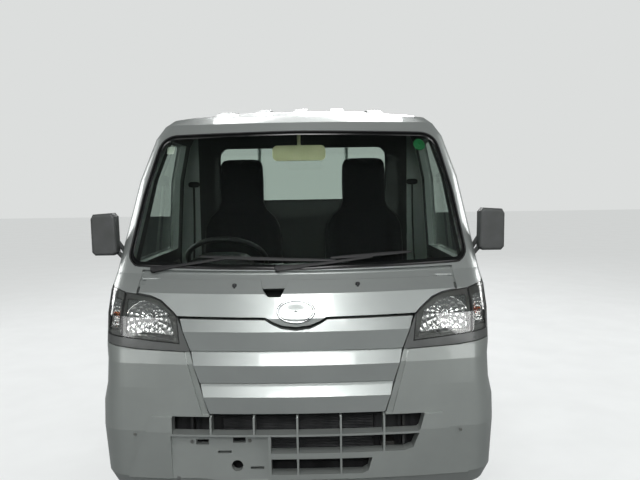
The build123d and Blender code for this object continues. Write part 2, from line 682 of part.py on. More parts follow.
# Cab floor with its bulkhead, wheel wells and hollow seat box
floor_plate = (shell & floor_region) - front_region - lamp_rooms - block(
    (-SEAT_BOX_HALF, at_station(SEAT_BOX_FRONT), 0), (SEAT_BOX_HALF, at_station(SEAT_BOX_BACK), 900)
)
well_round = wheel_round(ARCH_RADIUS + WELL_WALL, WELL_INNER_X, FAR)
well_form = well_round & cavity_form
well_form += well_round & block((0, -2000, FLOOR_Z - FLOOR_THICK), (FLOOR_HALF, 0, FLOOR_Z + 1))
well_space = wheel_round(ARCH_RADIUS, WELL_INNER_X + WELL_WALL, FAR)
seat_box = block(
    (-SEAT_BOX_HALF, at_station(SEAT_BOX_FRONT), FLOOR_Z - FLOOR_THICK),
    (SEAT_BOX_HALF, at_station(SEAT_BOX_BACK), SEAT_BOX_Z),
) - block(
    (8 - SEAT_BOX_HALF, at_station(SEAT_BOX_FRONT + 8), 0),
    (SEAT_BOX_HALF - 8, at_station(SEAT_BOX_BACK - 8), SEAT_BOX_Z - 8),
)
with BuildPart() as cab_floor:
    add(floor_plate)
    add(seat_box)
    add(well_form)
    add(mirrored(well_form))
    add(well_space, mode=Mode.SUBTRACT)
    add(mirrored(well_space), mode=Mode.SUBTRACT)
finish(cab_floor.part, "cab_floor")

# Frame behind the nose panels, which carries them, and the radiator
support_form = cab_form(BUMPER_THICK + SEAT_GAP, 300.0, 970.0, CAB_BACK_Y)
lamp_back_form = cab_form(LAMP_DEPTH + 2 * SEAT_GAP, 300.0, 970.0, CAB_BACK_Y)
RADIATOR = ((-280.0, 100.0, 330.0), (280.0, 142.0, 640.0))
with BuildPart() as front_support:
    for x in (-389.0, 389.0):
        add(block((x - 4, -2000, 402), (x + 4, 0, 868)) & support_form)
    for x in (-560.0, 560.0):
        add(block((x - 4, -2000, 560), (x + 4, 0, 935)) & lamp_back_form)
    add(block((-564, -2000, 745), (564, 0, 753)) & lamp_back_form)
    add(block((-FAR, at_station(NOSE_BACK) - SEAT_GAP, 0), (FAR, 0, 1100)), mode=Mode.SUBTRACT)
    add(lamp_rooms, mode=Mode.SUBTRACT)
    for x in (PLATE_BOLT_X - PLATE_BOLT_PITCH / 2, PLATE_BOLT_X + PLATE_BOLT_PITCH / 2):
        low = (x - PLATE_BOLT_ROOM, -2000, PLATE_BOLT_Z - PLATE_BOLT_ROOM)
        high = (x + PLATE_BOLT_ROOM, plate_y + BUMPER_THICK, PLATE_BOLT_Z + PLATE_BOLT_ROOM)
        add(block(low, high), mode=Mode.SUBTRACT)
finish(front_support.part, "front_support")

with BuildPart() as radiator:
    low, high = RADIATOR
    add(block((low[0], at_station(low[1]), low[2]), (high[0], at_station(high[1]), high[2])))
    for side in (-1, 1):
        ends = sorted((side * 279.0, side * (385.0 - SEAT_GAP)))
        for z in (500.0, 600.0):
            add(block((ends[0], at_station(115), z), (ends[1], at_station(130), z + 24)))
finish(radiator.part, "radiator")


def turned(points, x, y, z=TYRE_RADIUS):
    """A piece turned about an axis across the truck, from (along X, radius) points."""
    with BuildPart() as ring:
        with BuildSketch(Plane.XY):
            with BuildLine():
                Polyline(points, close=True)
            make_face()
        revolve(axis=Axis.X)
    return Pos(x, y, z) * ring.part


def rod(start, end, radius):
    """A round rod between two points."""
    way = Vector(*end) - Vector(*start)
    with BuildPart() as bar:
        with BuildSketch(Plane(origin=start, z_dir=way)):
            Circle(radius)
        extrude(amount=way.length)
    return bar.part


# Wheels: half of the tyre's outline, then the rim with its disc, hub and brake ring
WHEEL_X = TRACK / 2
half_tyre = TYRE_WIDTH / 2
TYRE_HALF = [
    (52.0, RIM_RADIUS), (52.0, RIM_RADIUS + 10),
    (half_tyre - 4, RIM_RADIUS + 28), (half_tyre, RIM_RADIUS + 60),
    (half_tyre - 10, TYRE_RADIUS - 9), (half_tyre - 42, TYRE_RADIUS),
]
TYRE_PROFILE = TYRE_HALF + [(-x, r) for x, r in reversed(TYRE_HALF)]
RIM_BARREL = [
    (-56.0, 150.0), (-56.0, 166.0), (-52.4, 166.0), (-52.4, RIM_RADIUS - SEAT_GAP),
    (52.4, RIM_RADIUS - SEAT_GAP), (52.4, 166.0), (56.0, 166.0), (56.0, 150.0), (18.0, 138.0),
    (18.0, 74.0), (26.0, 64.0), (26.0, HUB_RADIUS), (45.0, HUB_RADIUS - 4), (45.0, 0.0),
    (31.0, 0.0), (31.0, 15.5),
]
RIM_INNER = [(12.0, HUB_RADIUS), (12.0, 143.0)]
BRAKE_RINGS = {
    "front": [(-50.0, 15.5), (-50.0, 100.0), (-38.0, 100.0), (-38.0, HUB_RADIUS)],
    "rear": [(-38.0, 15.5), (-38.0, REAR_DRUM_RADIUS), (-4.0, REAR_DRUM_RADIUS), (-4.0, HUB_RADIUS)],
}
VENT_COUNT = 8
VENT_RADIUS = 13.0
NUT_COUNT = 4


def round_pattern(count, at_radius, radius, low_x, high_x, start=0.0):
    """Round pins across the truck, spaced evenly on a circle about the wheel's axis."""
    with BuildPart() as pins:
        with BuildSketch(Plane.YZ.offset(low_x)):
            with PolarLocations(at_radius, count, start):
                Circle(radius)
        extrude(amount=high_x - low_x)
    return pins.part


for place, axle_y in (("front", FRONT_AXLE_Y), ("rear", REAR_AXLE_Y)):
    tyre = turned(TYRE_PROFILE, WHEEL_X, axle_y)
    finish(tyre, f"tyre_{place}_left")
    finish(mirrored(tyre), f"tyre_{place}_right")
    with BuildPart() as rim:
        add(turned(RIM_BARREL + BRAKE_RINGS[place] + RIM_INNER, 0, 0, 0))
        add(round_pattern(VENT_COUNT, 104.0, VENT_RADIUS, 0, 50), mode=Mode.SUBTRACT)
        add(round_pattern(NUT_COUNT, 50.0, 9.0, 20, 38, 45.0))
    rim_part = Pos(WHEEL_X, axle_y, TYRE_RADIUS) * rim.part
    finish(rim_part, f"rim_{place}_left")
    finish(mirrored(rim_part), f"rim_{place}_right")

# Front knuckles, each on an upright steering axis inboard of its tyre
KINGPIN_X = 540.0
KINGPIN_LOW_Z = 150.0
KINGPIN_TOP_Z = 345.0
STRUT_RADIUS = 20.0
SPRING_RADIUS = 27.0
SPINDLE_RADIUS = 15.0
SPINDLE_END_X = WHEEL_X + 28.0
CALIPER_JAWS = [(583.0, 595.0), (617.0, 629.0)]
with BuildPart() as knuckle:
    add(rod((KINGPIN_X, FRONT_AXLE_Y, KINGPIN_LOW_Z), (KINGPIN_X, FRONT_AXLE_Y, KINGPIN_TOP_Z), 20))
    spindle_start = (KINGPIN_X, FRONT_AXLE_Y, TYRE_RADIUS)
    add(rod(spindle_start, (SPINDLE_END_X, FRONT_AXLE_Y, TYRE_RADIUS), SPINDLE_RADIUS))
    for low_x, high_x in CALIPER_JAWS:
        add(block((low_x, FRONT_AXLE_Y - 112, 240), (high_x, FRONT_AXLE_Y - 64, 296)))
    add(block((CALIPER_JAWS[0][0], FRONT_AXLE_Y - 134, 240), (CALIPER_JAWS[1][1], FRONT_AXLE_Y - 106, 296)))
    add(block((KINGPIN_X, FRONT_AXLE_Y - 80, 252), (CALIPER_JAWS[0][1], FRONT_AXLE_Y, 284)))
    add(block((KINGPIN_X - 11, FRONT_AXLE_Y, 192), (KINGPIN_X + 11, FRONT_AXLE_Y + 120, 208)))
finish(knuckle.part, "knuckle_left")
finish(mirrored(knuckle.part), "knuckle_right")

# Front suspension: crossmember, lower arms, struts with coil springs and the steering rack
strut_top_z = TYRE_RADIUS + math.sqrt(ARCH_RADIUS**2 - 44.0**2) - SEAT_GAP
with BuildPart() as front_suspension:
    add(block((-355, FRONT_AXLE_Y - 45, 128), (355, FRONT_AXLE_Y + 45, 168)))
    for side in (-1, 1):
        x = side * KINGPIN_X
        low = (side * 330 - 25, FRONT_AXLE_Y - 38, 160)
        add(block(low, (side * 330 + 25, FRONT_AXLE_Y + 38, RAIL_LOW_Z - SEAT_GAP)))
        with BuildSketch(Plane.XY.offset(128)):
            with BuildLine():
                Polyline(
                    [
                        (side * 350, FRONT_AXLE_Y - 40), (x - side * 8, FRONT_AXLE_Y - 18),
                        (x + side * 14, FRONT_AXLE_Y), (x - side * 8, FRONT_AXLE_Y + 18),
                        (side * 350, FRONT_AXLE_Y + 40),
                    ],
                    close=True,
                )
            make_face()
        extrude(amount=KINGPIN_LOW_Z - SEAT_GAP - 128)
        add(rod((x, FRONT_AXLE_Y, KINGPIN_TOP_Z + SEAT_GAP), (x, FRONT_AXLE_Y, strut_top_z), STRUT_RADIUS))
        add(rod((x, FRONT_AXLE_Y, 385), (x, FRONT_AXLE_Y, 575), SPRING_RADIUS))
        add(rod((x, FRONT_AXLE_Y, 575), (x, FRONT_AXLE_Y, strut_top_z), 44.0))
    add(rod((-380, FRONT_AXLE_Y + 108, 226), (380, FRONT_AXLE_Y + 108, 226), 18))
    for x in (-250, 250):
        add(block((x - 20, FRONT_AXLE_Y + 30, 168 - 20), (x + 20, FRONT_AXLE_Y + 108, 226)))
finish(front_suspension.part, "front_suspension")

# Ladder frame: two rails with crossmembers, cab mounts and bumper brackets
RAIL_X = 330.0
RAIL_WIDTH = 50.0
RAIL_TOP_Z = RAIL_LOW_Z + RAIL_HEIGHT
RAIL_START = 150.0
RAIL_END = 3330.0
CROSSMEMBERS = (195.0, 1500.0, 1960.0, 2330.0, 3060.0, 3290.0)
CAB_MOUNTS = (330.0, 1320.0)
CAB_FLOOR_LOW_Z = FLOOR_Z - FLOOR_THICK
with BuildPart() as chassis_frame:
    for side in (-1, 1):
        low_x, high_x = side * RAIL_X - RAIL_WIDTH / 2, side * RAIL_X + RAIL_WIDTH / 2
        add(block((low_x, at_station(RAIL_START), RAIL_LOW_Z), (high_x, at_station(RAIL_END), RAIL_TOP_Z)))
        for s in CAB_MOUNTS:
            low = (low_x, at_station(s - 25), RAIL_TOP_Z)
            add(block(low, (high_x, at_station(s + 25), CAB_FLOOR_LOW_Z - SEAT_GAP)))
        add(block((low_x, at_station(0), 401.5), (high_x, at_station(RAIL_START) + 1, 417)) & support_form)
    for s in CROSSMEMBERS:
        low = (-RAIL_X, at_station(s - 25), RAIL_LOW_Z + 10)
        add(block(low, (RAIL_X, at_station(s + 25), RAIL_TOP_Z - 10)))
    add(rod((0, at_station(3060), 303.3), (0, at_station(3060), 420), 8))
finish(chassis_frame.part, "chassis_frame")

# Driveline under the floor
ENGINE = ((-200.0, 880.0, 322.0), (200.0, 1280.0, 672.0))
GEARBOX = ((-110.0, 1279.0, 345.0), (110.0, 1410.0, 478.0))
SHAFT_START = 1410.3
SHAFT_Z = 372.0
DIFF_RADIUS = 95.0
AXLE_TUBE_RADIUS = 32.0
with BuildPart() as engine:
    for low, high in (ENGINE, GEARBOX):
        add(block((low[0], at_station(low[1]), low[2]), (high[0], at_station(high[1]), high[2])))
    for low_x, high_x in ((-RAIL_X + 25.3, -199), (199, RAIL_X - 25.3)):
        add(block((low_x, at_station(1050), 430), (high_x, at_station(1110), 465)))
finish(engine.part, "engine")

AXLE_OUTLINE = [
    (-SPINDLE_END_X, 0), (-SPINDLE_END_X, SPINDLE_RADIUS), (-606, SPINDLE_RADIUS), (-606, 112), (-600, 112),
    (-600, AXLE_TUBE_RADIUS), (-140, AXLE_TUBE_RADIUS), (-80, 75), (-45, DIFF_RADIUS),
]
with BuildPart() as rear_axle:
    add(turned(AXLE_OUTLINE + [(-x, r) for x, r in reversed(AXLE_OUTLINE)], 0, REAR_AXLE_Y))
    add(rod((0, REAR_AXLE_Y - 150, TYRE_RADIUS), (0, REAR_AXLE_Y, TYRE_RADIUS), 42))
finish(rear_axle.part, "rear_axle")

shaft_tail = (0, REAR_AXLE_Y - 150 - SEAT_GAP, TYRE_RADIUS)
with BuildPart() as propeller_shaft:
    add(rod((0, at_station(SHAFT_START) + 9, SHAFT_Z), (0, shaft_tail[1] - 9, shaft_tail[2]), 26))
    add(rod((0, at_station(SHAFT_START), SHAFT_Z), (0, at_station(SHAFT_START) + 18, SHAFT_Z), 38))
    add(rod((0, shaft_tail[1] - 18, shaft_tail[2]), shaft_tail, 40))
finish(propeller_shaft.part, "propeller_shaft")

# Leaf springs: four leaves on one centre of curvature, each shorter than the one above it
SPRING_X = 410.0
SPRING_WIDTH = 50.0
LEAF_THICK = 6.0
LEAF_HALVES = (450.0, 350.0, 250.0, 150.0)
SPRING_EYE_Z = 382.0
SPRING_MIDDLE_Z = TYRE_RADIUS + AXLE_TUBE_RADIUS + SEAT_GAP + LEAF_THICK * (len(LEAF_HALVES) - 0.5)
spring_rise = SPRING_EYE_Z - SPRING_MIDDLE_Z
spring_bend = (LEAF_HALVES[0] ** 2 + spring_rise**2) / (2 * spring_rise)
EYE_RADIUS = 14.0
with BuildPart() as spring:
    with BuildSketch(Plane.YZ.offset(SPRING_X - SPRING_WIDTH / 2)):
        for i, half in enumerate(LEAF_HALVES):
            low_radius = spring_bend + (i - 0.5) * LEAF_THICK
            with BuildSketch(mode=Mode.PRIVATE) as leaf:
                with Locations((REAR_AXLE_Y, SPRING_MIDDLE_Z + spring_bend)):
                    Circle(low_radius + LEAF_THICK)
                    Circle(low_radius, mode=Mode.SUBTRACT)
                with Locations((REAR_AXLE_Y, SPRING_MIDDLE_Z)):
                    Rectangle(2 * half, 200, mode=Mode.INTERSECT)
            add(leaf.sketch)
        for end in (-LEAF_HALVES[0], LEAF_HALVES[0]):
            with Locations((REAR_AXLE_Y + end, SPRING_EYE_Z)):
                Circle(EYE_RADIUS)
    extrude(amount=SPRING_WIDTH)
    for end in (-LEAF_HALVES[0], LEAF_HALVES[0]):
        y = REAR_AXLE_Y + end
        add(rod((RAIL_X + 25.3, y, SPRING_EYE_Z), (SPRING_X + 34, y, SPRING_EYE_Z), 8))
        for x in (SPRING_X - 33, SPRING_X + 26):
            add(block((x, y - 18, SPRING_EYE_Z - 14), (x + 7, y + 18, 470)))
        add(block((RAIL_X + 25.3, y - 18, 440), (SPRING_X + 33, y + 18, 470)))
    low = (SPRING_X - 40, REAR_AXLE_Y - 50, SPRING_MIDDLE_Z + 2)
    add(block(low, (SPRING_X + 40, REAR_AXLE_Y + 50, SPRING_MIDDLE_Z + 12)))
    for x in (SPRING_X - 33, SPRING_X + 33):
        for y in (REAR_AXLE_Y - 40, REAR_AXLE_Y + 40):
            add(block((x - 5, y - 5, 222), (x + 5, y + 5, SPRING_MIDDLE_Z + 16)))
    high = (SPRING_X + 40, REAR_AXLE_Y + 50, TYRE_RADIUS - AXLE_TUBE_RADIUS - SEAT_GAP)
    add(block((SPRING_X - 40, REAR_AXLE_Y - 50, 225), high))
with BuildPart() as rear_suspension:
    add(spring.part)
    add(mirrored(spring.part))
finish(rear_suspension.part, "rear_suspension")

TANK = ((RAIL_X + 25.3, 1480.0, 240.0), (640.0, 1980.0, 440.0))
with BuildPart() as fuel_tank:
    low, high = TANK
    add(block((low[0], at_station(low[1]), low[2]), (high[0], at_station(high[1]), high[2])))
    fillet(fuel_tank.edges().filter_by(Axis.Y), radius=30)
    add(block((low[0], at_station(1560), 400), (low[0] + 60, at_station(1900), 440)))
finish(fuel_tank.part, "fuel_tank")

EXHAUST_X = -470.0
with BuildPart() as exhaust:
    add(rod((EXHAUST_X, at_station(1560), 330), (EXHAUST_X, at_station(2020), 330), 75))
    add(rod((-150, at_station(1281), 400), (-150, at_station(1460), 330), 22))
    add(rod((-150, at_station(1460), 330), (EXHAUST_X, at_station(1570), 330), 22))
    add(rod((EXHAUST_X, at_station(2010), 330), (EXHAUST_X, at_station(2140), 330), 22))
    for s in (1620, 1960):
        add(block((EXHAUST_X, at_station(s), 380), (-RAIL_X - 25.3, at_station(s + 24), 440)))
    add(block((-600, -2000, 0), (600, at_station(1280.3), 900)), mode=Mode.SUBTRACT)
finish(exhaust.part, "exhaust")

# Spare wheel lying flat under the bed
SPARE_S = 3060.0
SPARE_Z = 315.0
SPARE_RIM = RIM_BARREL[:-2] + [(12.0, 0.0)] + RIM_INNER[1:]
with BuildPart() as spare_wheel:
    add(turned(TYRE_PROFILE, 0, 0, 0))
    add(turned(SPARE_RIM, 0, 0, 0))
spare = Pos(0, at_station(SPARE_S), SPARE_Z) * Rot(0, 90, 0) * spare_wheel.part
finish(spare, "spare_wheel")

# Cargo bed: floor with side rails and headboard, on stringers and cross sills
BED_HALF = WIDTH / 2 - 2.5
BED_FRONT = CAB_LENGTH + CAB_BED_GAP
BED_END = LENGTH - 6.0
BED_RAIL_X = BED_HALF - 4.0
HEADBOARD_THICK = 30.0
GATE_LIFT = 6.0
GATE_ROOM = 7.0
GATE_TOP_Z = BED_FLOOR_Z + GATE_HEIGHT
SILLS = (1425.0, 1760.0, 2110.0, 2390.0, 2925.0, 3200.0)
with BuildPart() as bed_frame:
    for side in (-1, 1):
        add(
            block(
                (side * RAIL_X - 22, at_station(BED_FRONT + 5), RAIL_TOP_Z + SEAT_GAP),
                (side * RAIL_X + 22, at_station(RAIL_END), 575),
            )
        )
    for s in SILLS:
        add(
            block(
                (-BED_RAIL_X + 32, at_station(s - 20), 560),
                (BED_RAIL_X - 32, at_station(s + 20), BED_FLOOR_Z - BED_FLOOR_THICK - SEAT_GAP),
            )
        )
finish(bed_frame.part, "bed_frame")

GATE_HINGE_Z = BED_FLOOR_Z - 3.0
gate_start = BED_FRONT + HEADBOARD_THICK + GATE_ROOM
gate_end = BED_END - GATE_THICK - GATE_ROOM
SIDE_HINGES = [at_station(gate_start + share * (gate_end - gate_start)) for share in (0.08, 0.5, 0.92)]
TAIL_HINGES = (-520.0, 0.0, 520.0)
TAIL_Y = at_station(BED_END)
side_hinge = hinge_set((BED_HALF, 0, GATE_HINGE_Z), (0, 1, 0), SIDE_HINGES)
tail_hinge = hinge_set((0, TAIL_Y, GATE_HINGE_Z), (1, 0, 0), TAIL_HINGES)


def leaves_along(middles, low, high, along_y):
    """Leaf blocks for the moving barrels: a cross section carried along each barrel."""
    with BuildPart() as leaves:
        for m in middles:
            near, far = m - HINGE_MOVING / 2, m + HINGE_MOVING / 2
            if along_y:
                add(block((low[0], near, low[1]), (high[0], far, high[1])))
            else:
                add(block((near, low[0], low[1]), (far, high[0], high[1])))
    return leaves.part


side_leaves = leaves_along(SIDE_HINGES, (BED_HALF - 8, GATE_HINGE_Z), (BED_HALF - 1, BED_FLOOR_Z + 60), True)
tail_leaves = leaves_along(TAIL_HINGES, (TAIL_Y - 8, GATE_HINGE_Z), (TAIL_Y - 1, BED_FLOOR_Z + 60), False)
FLOOR_RIB_COUNT = 13
FLOOR_RIB_WIDTH = 50.0
FLOOR_RIB_DEPTH = 4.0
with BuildPart() as cargo_bed:
    add(
        block(
            (-BED_RAIL_X, at_station(BED_FRONT), BED_FLOOR_Z - BED_FLOOR_THICK),
            (BED_RAIL_X, TAIL_Y - 4, BED_FLOOR_Z),
        )
    )
    for side in (-1, 1):
        ends = sorted((side * (BED_RAIL_X - 30), side * BED_RAIL_X))
        add(block((ends[0], at_station(BED_FRONT), 590), (ends[1], TAIL_Y - 4, BED_FLOOR_Z)))
    add(block((-BED_RAIL_X, TAIL_Y - 34, 590), (BED_RAIL_X, TAIL_Y - 4, BED_FLOOR_Z)))
    add(
        block(
            (-BED_HALF, at_station(BED_FRONT), BED_FLOOR_Z - BED_FLOOR_THICK),
            (BED_HALF, at_station(BED_FRONT + HEADBOARD_THICK), GATE_TOP_Z),
        )
    )
    pitch = 2 * (BED_RAIL_X - 60) / FLOOR_RIB_COUNT
    for i in range(FLOOR_RIB_COUNT):
        x = (i - (FLOOR_RIB_COUNT - 1) / 2) * pitch
        add(
            block(
                (x - FLOOR_RIB_WIDTH / 2, at_station(gate_start + 30), BED_FLOOR_Z - FLOOR_RIB_DEPTH),
                (x + FLOOR_RIB_WIDTH / 2, at_station(gate_end - 30), BED_FLOOR_Z + 1),
            ),
            mode=Mode.SUBTRACT,
        )
    for hinge, leaf in ((side_hinge, side_leaves), (tail_hinge, tail_leaves)):
        add(hinge[2], mode=Mode.SUBTRACT)
        add(leaf, mode=Mode.SUBTRACT)
        add(hinge[1])
    add(mirrored(side_hinge[2]), mode=Mode.SUBTRACT)
    add(mirrored(side_leaves), mode=Mode.SUBTRACT)
    add(mirrored(side_hinge[1]))
finish(cargo_bed.part, "cargo_bed")

# Drop gates: a pressed panel with a set-back middle on its outer face, and its hinge barrels
PRESS_DEPTH = 8.0
PRESS_EDGE = 28.0
with BuildPart() as side_gate:
    add(
        block(
            (BED_HALF - GATE_THICK, at_station(gate_start), BED_FLOOR_Z + GATE_LIFT),
            (BED_HALF - 1, at_station(gate_end), GATE_TOP_Z),
        )
    )
    span = (gate_end - gate_start - 4 * PRESS_EDGE) / 3
    for i in range(3):
        start = gate_start + PRESS_EDGE + i * (span + PRESS_EDGE)
        add(
            block(
                (BED_HALF - 1 - PRESS_DEPTH, at_station(start), BED_FLOOR_Z + 75),
                (BED_HALF + 1, at_station(start + span), GATE_TOP_Z - PRESS_EDGE),
            ),
            mode=Mode.SUBTRACT,
        )
    add(side_hinge[3], mode=Mode.SUBTRACT)
    add(side_leaves)
    add(side_hinge[0])
finish(side_gate.part, "side_gate_left")
finish(mirrored(side_gate.part), "side_gate_right")

with BuildPart() as tailgate:
    add(
        block(
            (-BED_HALF + 1, TAIL_Y - GATE_THICK, BED_FLOOR_Z + GATE_LIFT),
            (BED_HALF - 1, TAIL_Y - 1, GATE_TOP_Z),
        )
    )
    span = (2 * BED_HALF - 3 * PRESS_EDGE) / 2
    for start in (-BED_HALF + PRESS_EDGE, PRESS_EDGE / 2):
        add(
            block(
                (start, TAIL_Y - 1 - PRESS_DEPTH, BED_FLOOR_Z + 75),
                (start + span, TAIL_Y + 1, GATE_TOP_Z - PRESS_EDGE),
            ),
            mode=Mode.SUBTRACT,
        )
    add(tail_hinge[3], mode=Mode.SUBTRACT)
    add(tail_leaves)
    add(tail_hinge[0])
finish(tailgate.part, "tailgate")

# Guard frame behind the cab
GUARD_TOP_Z = 1600.0
GUARD_HALF = 600.0
GUARD_BARS = (-250.0, 250.0)
GUARD_Y = at_station(BED_FRONT + HEADBOARD_THICK / 2)
with BuildPart() as guard_frame:
    for x in (-GUARD_HALF, *GUARD_BARS, GUARD_HALF):
        add(rod((x, GUARD_Y, GATE_TOP_Z + SEAT_GAP), (x, GUARD_Y, GUARD_TOP_Z), 13))
    for z in (1250.0, GUARD_TOP_Z):
        add(rod((-GUARD_HALF - 13, GUARD_Y, z), (GUARD_HALF + 13, GUARD_Y, z), 13))
finish(guard_frame.part, "guard_frame")

# Rear crossbar with its plate bracket, tail lamps and mud flaps
BAR_Y = at_station(RAIL_END) + SEAT_GAP
BAR_DEPTH = 18.0
REAR_PLATE_BOLT_PITCH = 210.0
REAR_PLATE_Z = 530.0
with BuildPart() as rear_crossbar:
    add(block((-680, BAR_Y, 455), (680, BAR_Y + BAR_DEPTH, 560)))
    for x in (-REAR_PLATE_BOLT_PITCH / 2, REAR_PLATE_BOLT_PITCH / 2):
        add(rod((x, BAR_Y - 1, REAR_PLATE_Z), (x, BAR_Y + 40, REAR_PLATE_Z), 3.5), mode=Mode.SUBTRACT)
finish(rear_crossbar.part, "rear_crossbar")

with BuildPart() as tail_lamps:
    for x in (-560.0, 560.0):
        add(block((x - 95, BAR_Y + BAR_DEPTH + SEAT_GAP, 472), (x + 95, BAR_Y + BAR_DEPTH + 28, 548)))
finish(tail_lamps.part, "tail_lamps")

with BuildPart() as mud_flaps:
    for x in (-645.0, 645.0):
        add(block((x - 54, at_station(2945 + SEAT_GAP), 200), (x + 54, at_station(2951), 620)))
finish(mud_flaps.part, "mud_flaps")

# Interior
DASH_HALF = 650.0
DASH_OUTLINE = [
    (150.0, BELT_Z + SEAT_GAP), (150.0, 1028.0), (500.0, 1030.0), (572.0, 990.0), (560.0, 900.0),
    (430.0, 790.0), (360.0, 720.0), (NOSE_BACK + WALL + SEAT_GAP, 720.0),
    (NOSE_BACK + WALL + SEAT_GAP, BELT_Z + SEAT_GAP),
]
DRIVER_X = -335.0
COLUMN_WAY = Vector(0, 0.6, 0.8)
WHEEL_CENTRE = Vector(DRIVER_X, at_station(665.0), 1030.0)
WHEEL_RING_RADIUS = 178.0
with BuildPart() as dashboard:
    add(cab_form(WALL + SEAT_GAP, 700.0, 1100.0, CAB_BACK_Y - WALL))
    add(side_prism(DASH_OUTLINE, -DASH_HALF, DASH_HALF), mode=Mode.INTERSECT)
finish(dashboard.part, "dashboard")

column_base = WHEEL_CENTRE - COLUMN_WAY * 200
with BuildPart() as steering_column:
    add(rod(column_base - COLUMN_WAY * 60, WHEEL_CENTRE - COLUMN_WAY * 52, 30))
    add(rod(column_base, WHEEL_CENTRE - COLUMN_WAY * 32, 9))
    add(dashboard.part, mode=Mode.SUBTRACT)
finish(steering_column.part, "steering_column")

with BuildPart() as steering_wheel:
    wheel_plane = Plane(origin=WHEEL_CENTRE, x_dir=(1, 0, 0), z_dir=COLUMN_WAY)
    with BuildSketch(Plane(origin=WHEEL_CENTRE, x_dir=(1, 0, 0), z_dir=(0, -0.8, 0.6))):
        with Locations((WHEEL_RING_RADIUS, 0)):
            RegularPolygon(14, 8)
    revolve(axis=Axis(WHEEL_CENTRE, COLUMN_WAY))
    add(rod(WHEEL_CENTRE - COLUMN_WAY * 32, WHEEL_CENTRE - COLUMN_WAY * 4, 42))
    for angle in (180, 0, 270):
        with BuildSketch(wheel_plane.offset(-14)):
            with PolarLocations(WHEEL_RING_RADIUS / 2, 1, angle):
                Rectangle(WHEEL_RING_RADIUS - 4, 26)
        extrude(amount=10)
    add(rod(column_base, WHEEL_CENTRE - COLUMN_WAY * 14, 9.5), mode=Mode.SUBTRACT)
finish(steering_wheel.part, "steering_wheel")

SEAT_X = 335.0
SEAT_HALF = 225.0
HEADREST_HALF = 122.0
CUSHION_OUTLINE = [
    (842.0, 700.3), (842.0, 780.0), (870.0, 795.0),
    (1180.0, 775.0), (1285.0, 775.0), (1285.0, 700.3),
]
BACK_OUTLINE = [(1180.0, 775.0), (1212.0, 1330.0), (1285.0, 1330.0), (1296.0, 900.0), (1285.0, 770.0)]
HEADREST_OUTLINE = [(1211.0, 1310.0), (1222.0, 1500.0), (1236.0, 1528.0), (1276.0, 1528.0), (1284.0, 1310.0)]
with BuildPart() as seat:
    add(side_prism(CUSHION_OUTLINE, SEAT_X - SEAT_HALF, SEAT_X + SEAT_HALF))
    add(side_prism(BACK_OUTLINE, SEAT_X - SEAT_HALF + 8, SEAT_X + SEAT_HALF - 8))
    add(side_prism(HEADREST_OUTLINE, SEAT_X - HEADREST_HALF, SEAT_X + HEADREST_HALF))
finish(seat.part, "passenger_seat")
finish(mirrored(seat.part), "driver_seat")

MIRROR_S = 716.0
inside_form = cab_form(WALL + SEAT_GAP, 1000.0, CAVITY_TOP_Z - SEAT_GAP, CAB_BACK_Y - WALL)
with BuildPart() as cabin_mirror:
    add(rounded_window(122.0, 1480.0, 1550.0, 24.0, at_station(MIRROR_S - 14), at_station(MIRROR_S + 8)))
    add(rod((0, at_station(MIRROR_S), 1540), (0, at_station(MIRROR_S - 20), 1720), 8) & inside_form)
finish(cabin_mirror.part, "cabin_mirror")

WIPER_LIFT = 9.0
wiper_layer = cab_form(-WIPER_LIFT, 975.0, 1200.0, CAB_BACK_Y)
wiper_layer -= cab_form(-SEAT_GAP, 974.0, 1201.0, CAB_BACK_Y)


def strip(start, end, width):
    """A four-cornered (x, height) outline along the line between two points."""
    (ax, az), (bx, bz) = start, end
    run = math.hypot(bx - ax, bz - az)
    nx, nz = -(bz - az) / run * width / 2, (bx - ax) / run * width / 2
    return [(ax + nx, az + nz), (bx + nx, bz + nz), (bx - nx, bz - nz), (ax - nx, az - nz)]


# Wipers, as (x, height) seen from the front. They lie close to the skin, above the hood's swing,
# and the middle pivot reaches down into the hood's notch
WIPER_ARMS = [((-563.0, 1046.0), (-267.0, 1090.0)), ((-72.0, 1053.0), (292.0, 1088.0))]
WIPER_BLADES = [((-380.0, 1095.0), (151.0, 1078.0)), ((130.0, 1087.0), (450.0, 1101.0))]
ARM_WIDTH = 15.0
BLADE_WIDTH = 12.0
PIVOT_HALF = 12.0
NOTCH_PIVOT = (-72.0, 988.0, 1058.0)
with BuildPart() as wipers:
    for start, end in WIPER_ARMS:
        add(front_prism(strip(start, end, ARM_WIDTH), -2000, 0) & wiper_layer)
    for start, end in WIPER_BLADES:
        add(front_prism(strip(start, end, BLADE_WIDTH), -2000, 0) & wiper_layer)
    pivot_x, pivot_z = WIPER_ARMS[0][0]
    add(
        block((pivot_x - PIVOT_HALF, -2000, pivot_z - 14), (pivot_x + PIVOT_HALF, 0, pivot_z + 14))
        & wiper_layer
    )
    notch_x, notch_low_z, notch_top_z = NOTCH_PIVOT
    notch_block = block(
        (notch_x - PIVOT_HALF, -2000, notch_low_z), (notch_x + PIVOT_HALF, 0, notch_top_z)
    )
    add(notch_block & wiper_layer)
    cowl_gap_form = cab_form(0.0, 975.0, COWL_TOP_Z - SEAT_GAP, CAB_BACK_Y)
    cowl_gap_form -= cab_form(COWL_SET_BACK - SEAT_GAP, 974.0, COWL_TOP_Z + 1, CAB_BACK_Y)
    cowl_gap_form += cab_form(-1.0, 975.0, COWL_TOP_Z - SEAT_GAP, CAB_BACK_Y) - cab_form(
        1.0, 974.0, COWL_TOP_Z + 1, CAB_BACK_Y
    )
    add(notch_block & cowl_gap_form)
finish(wipers.part, "wipers")

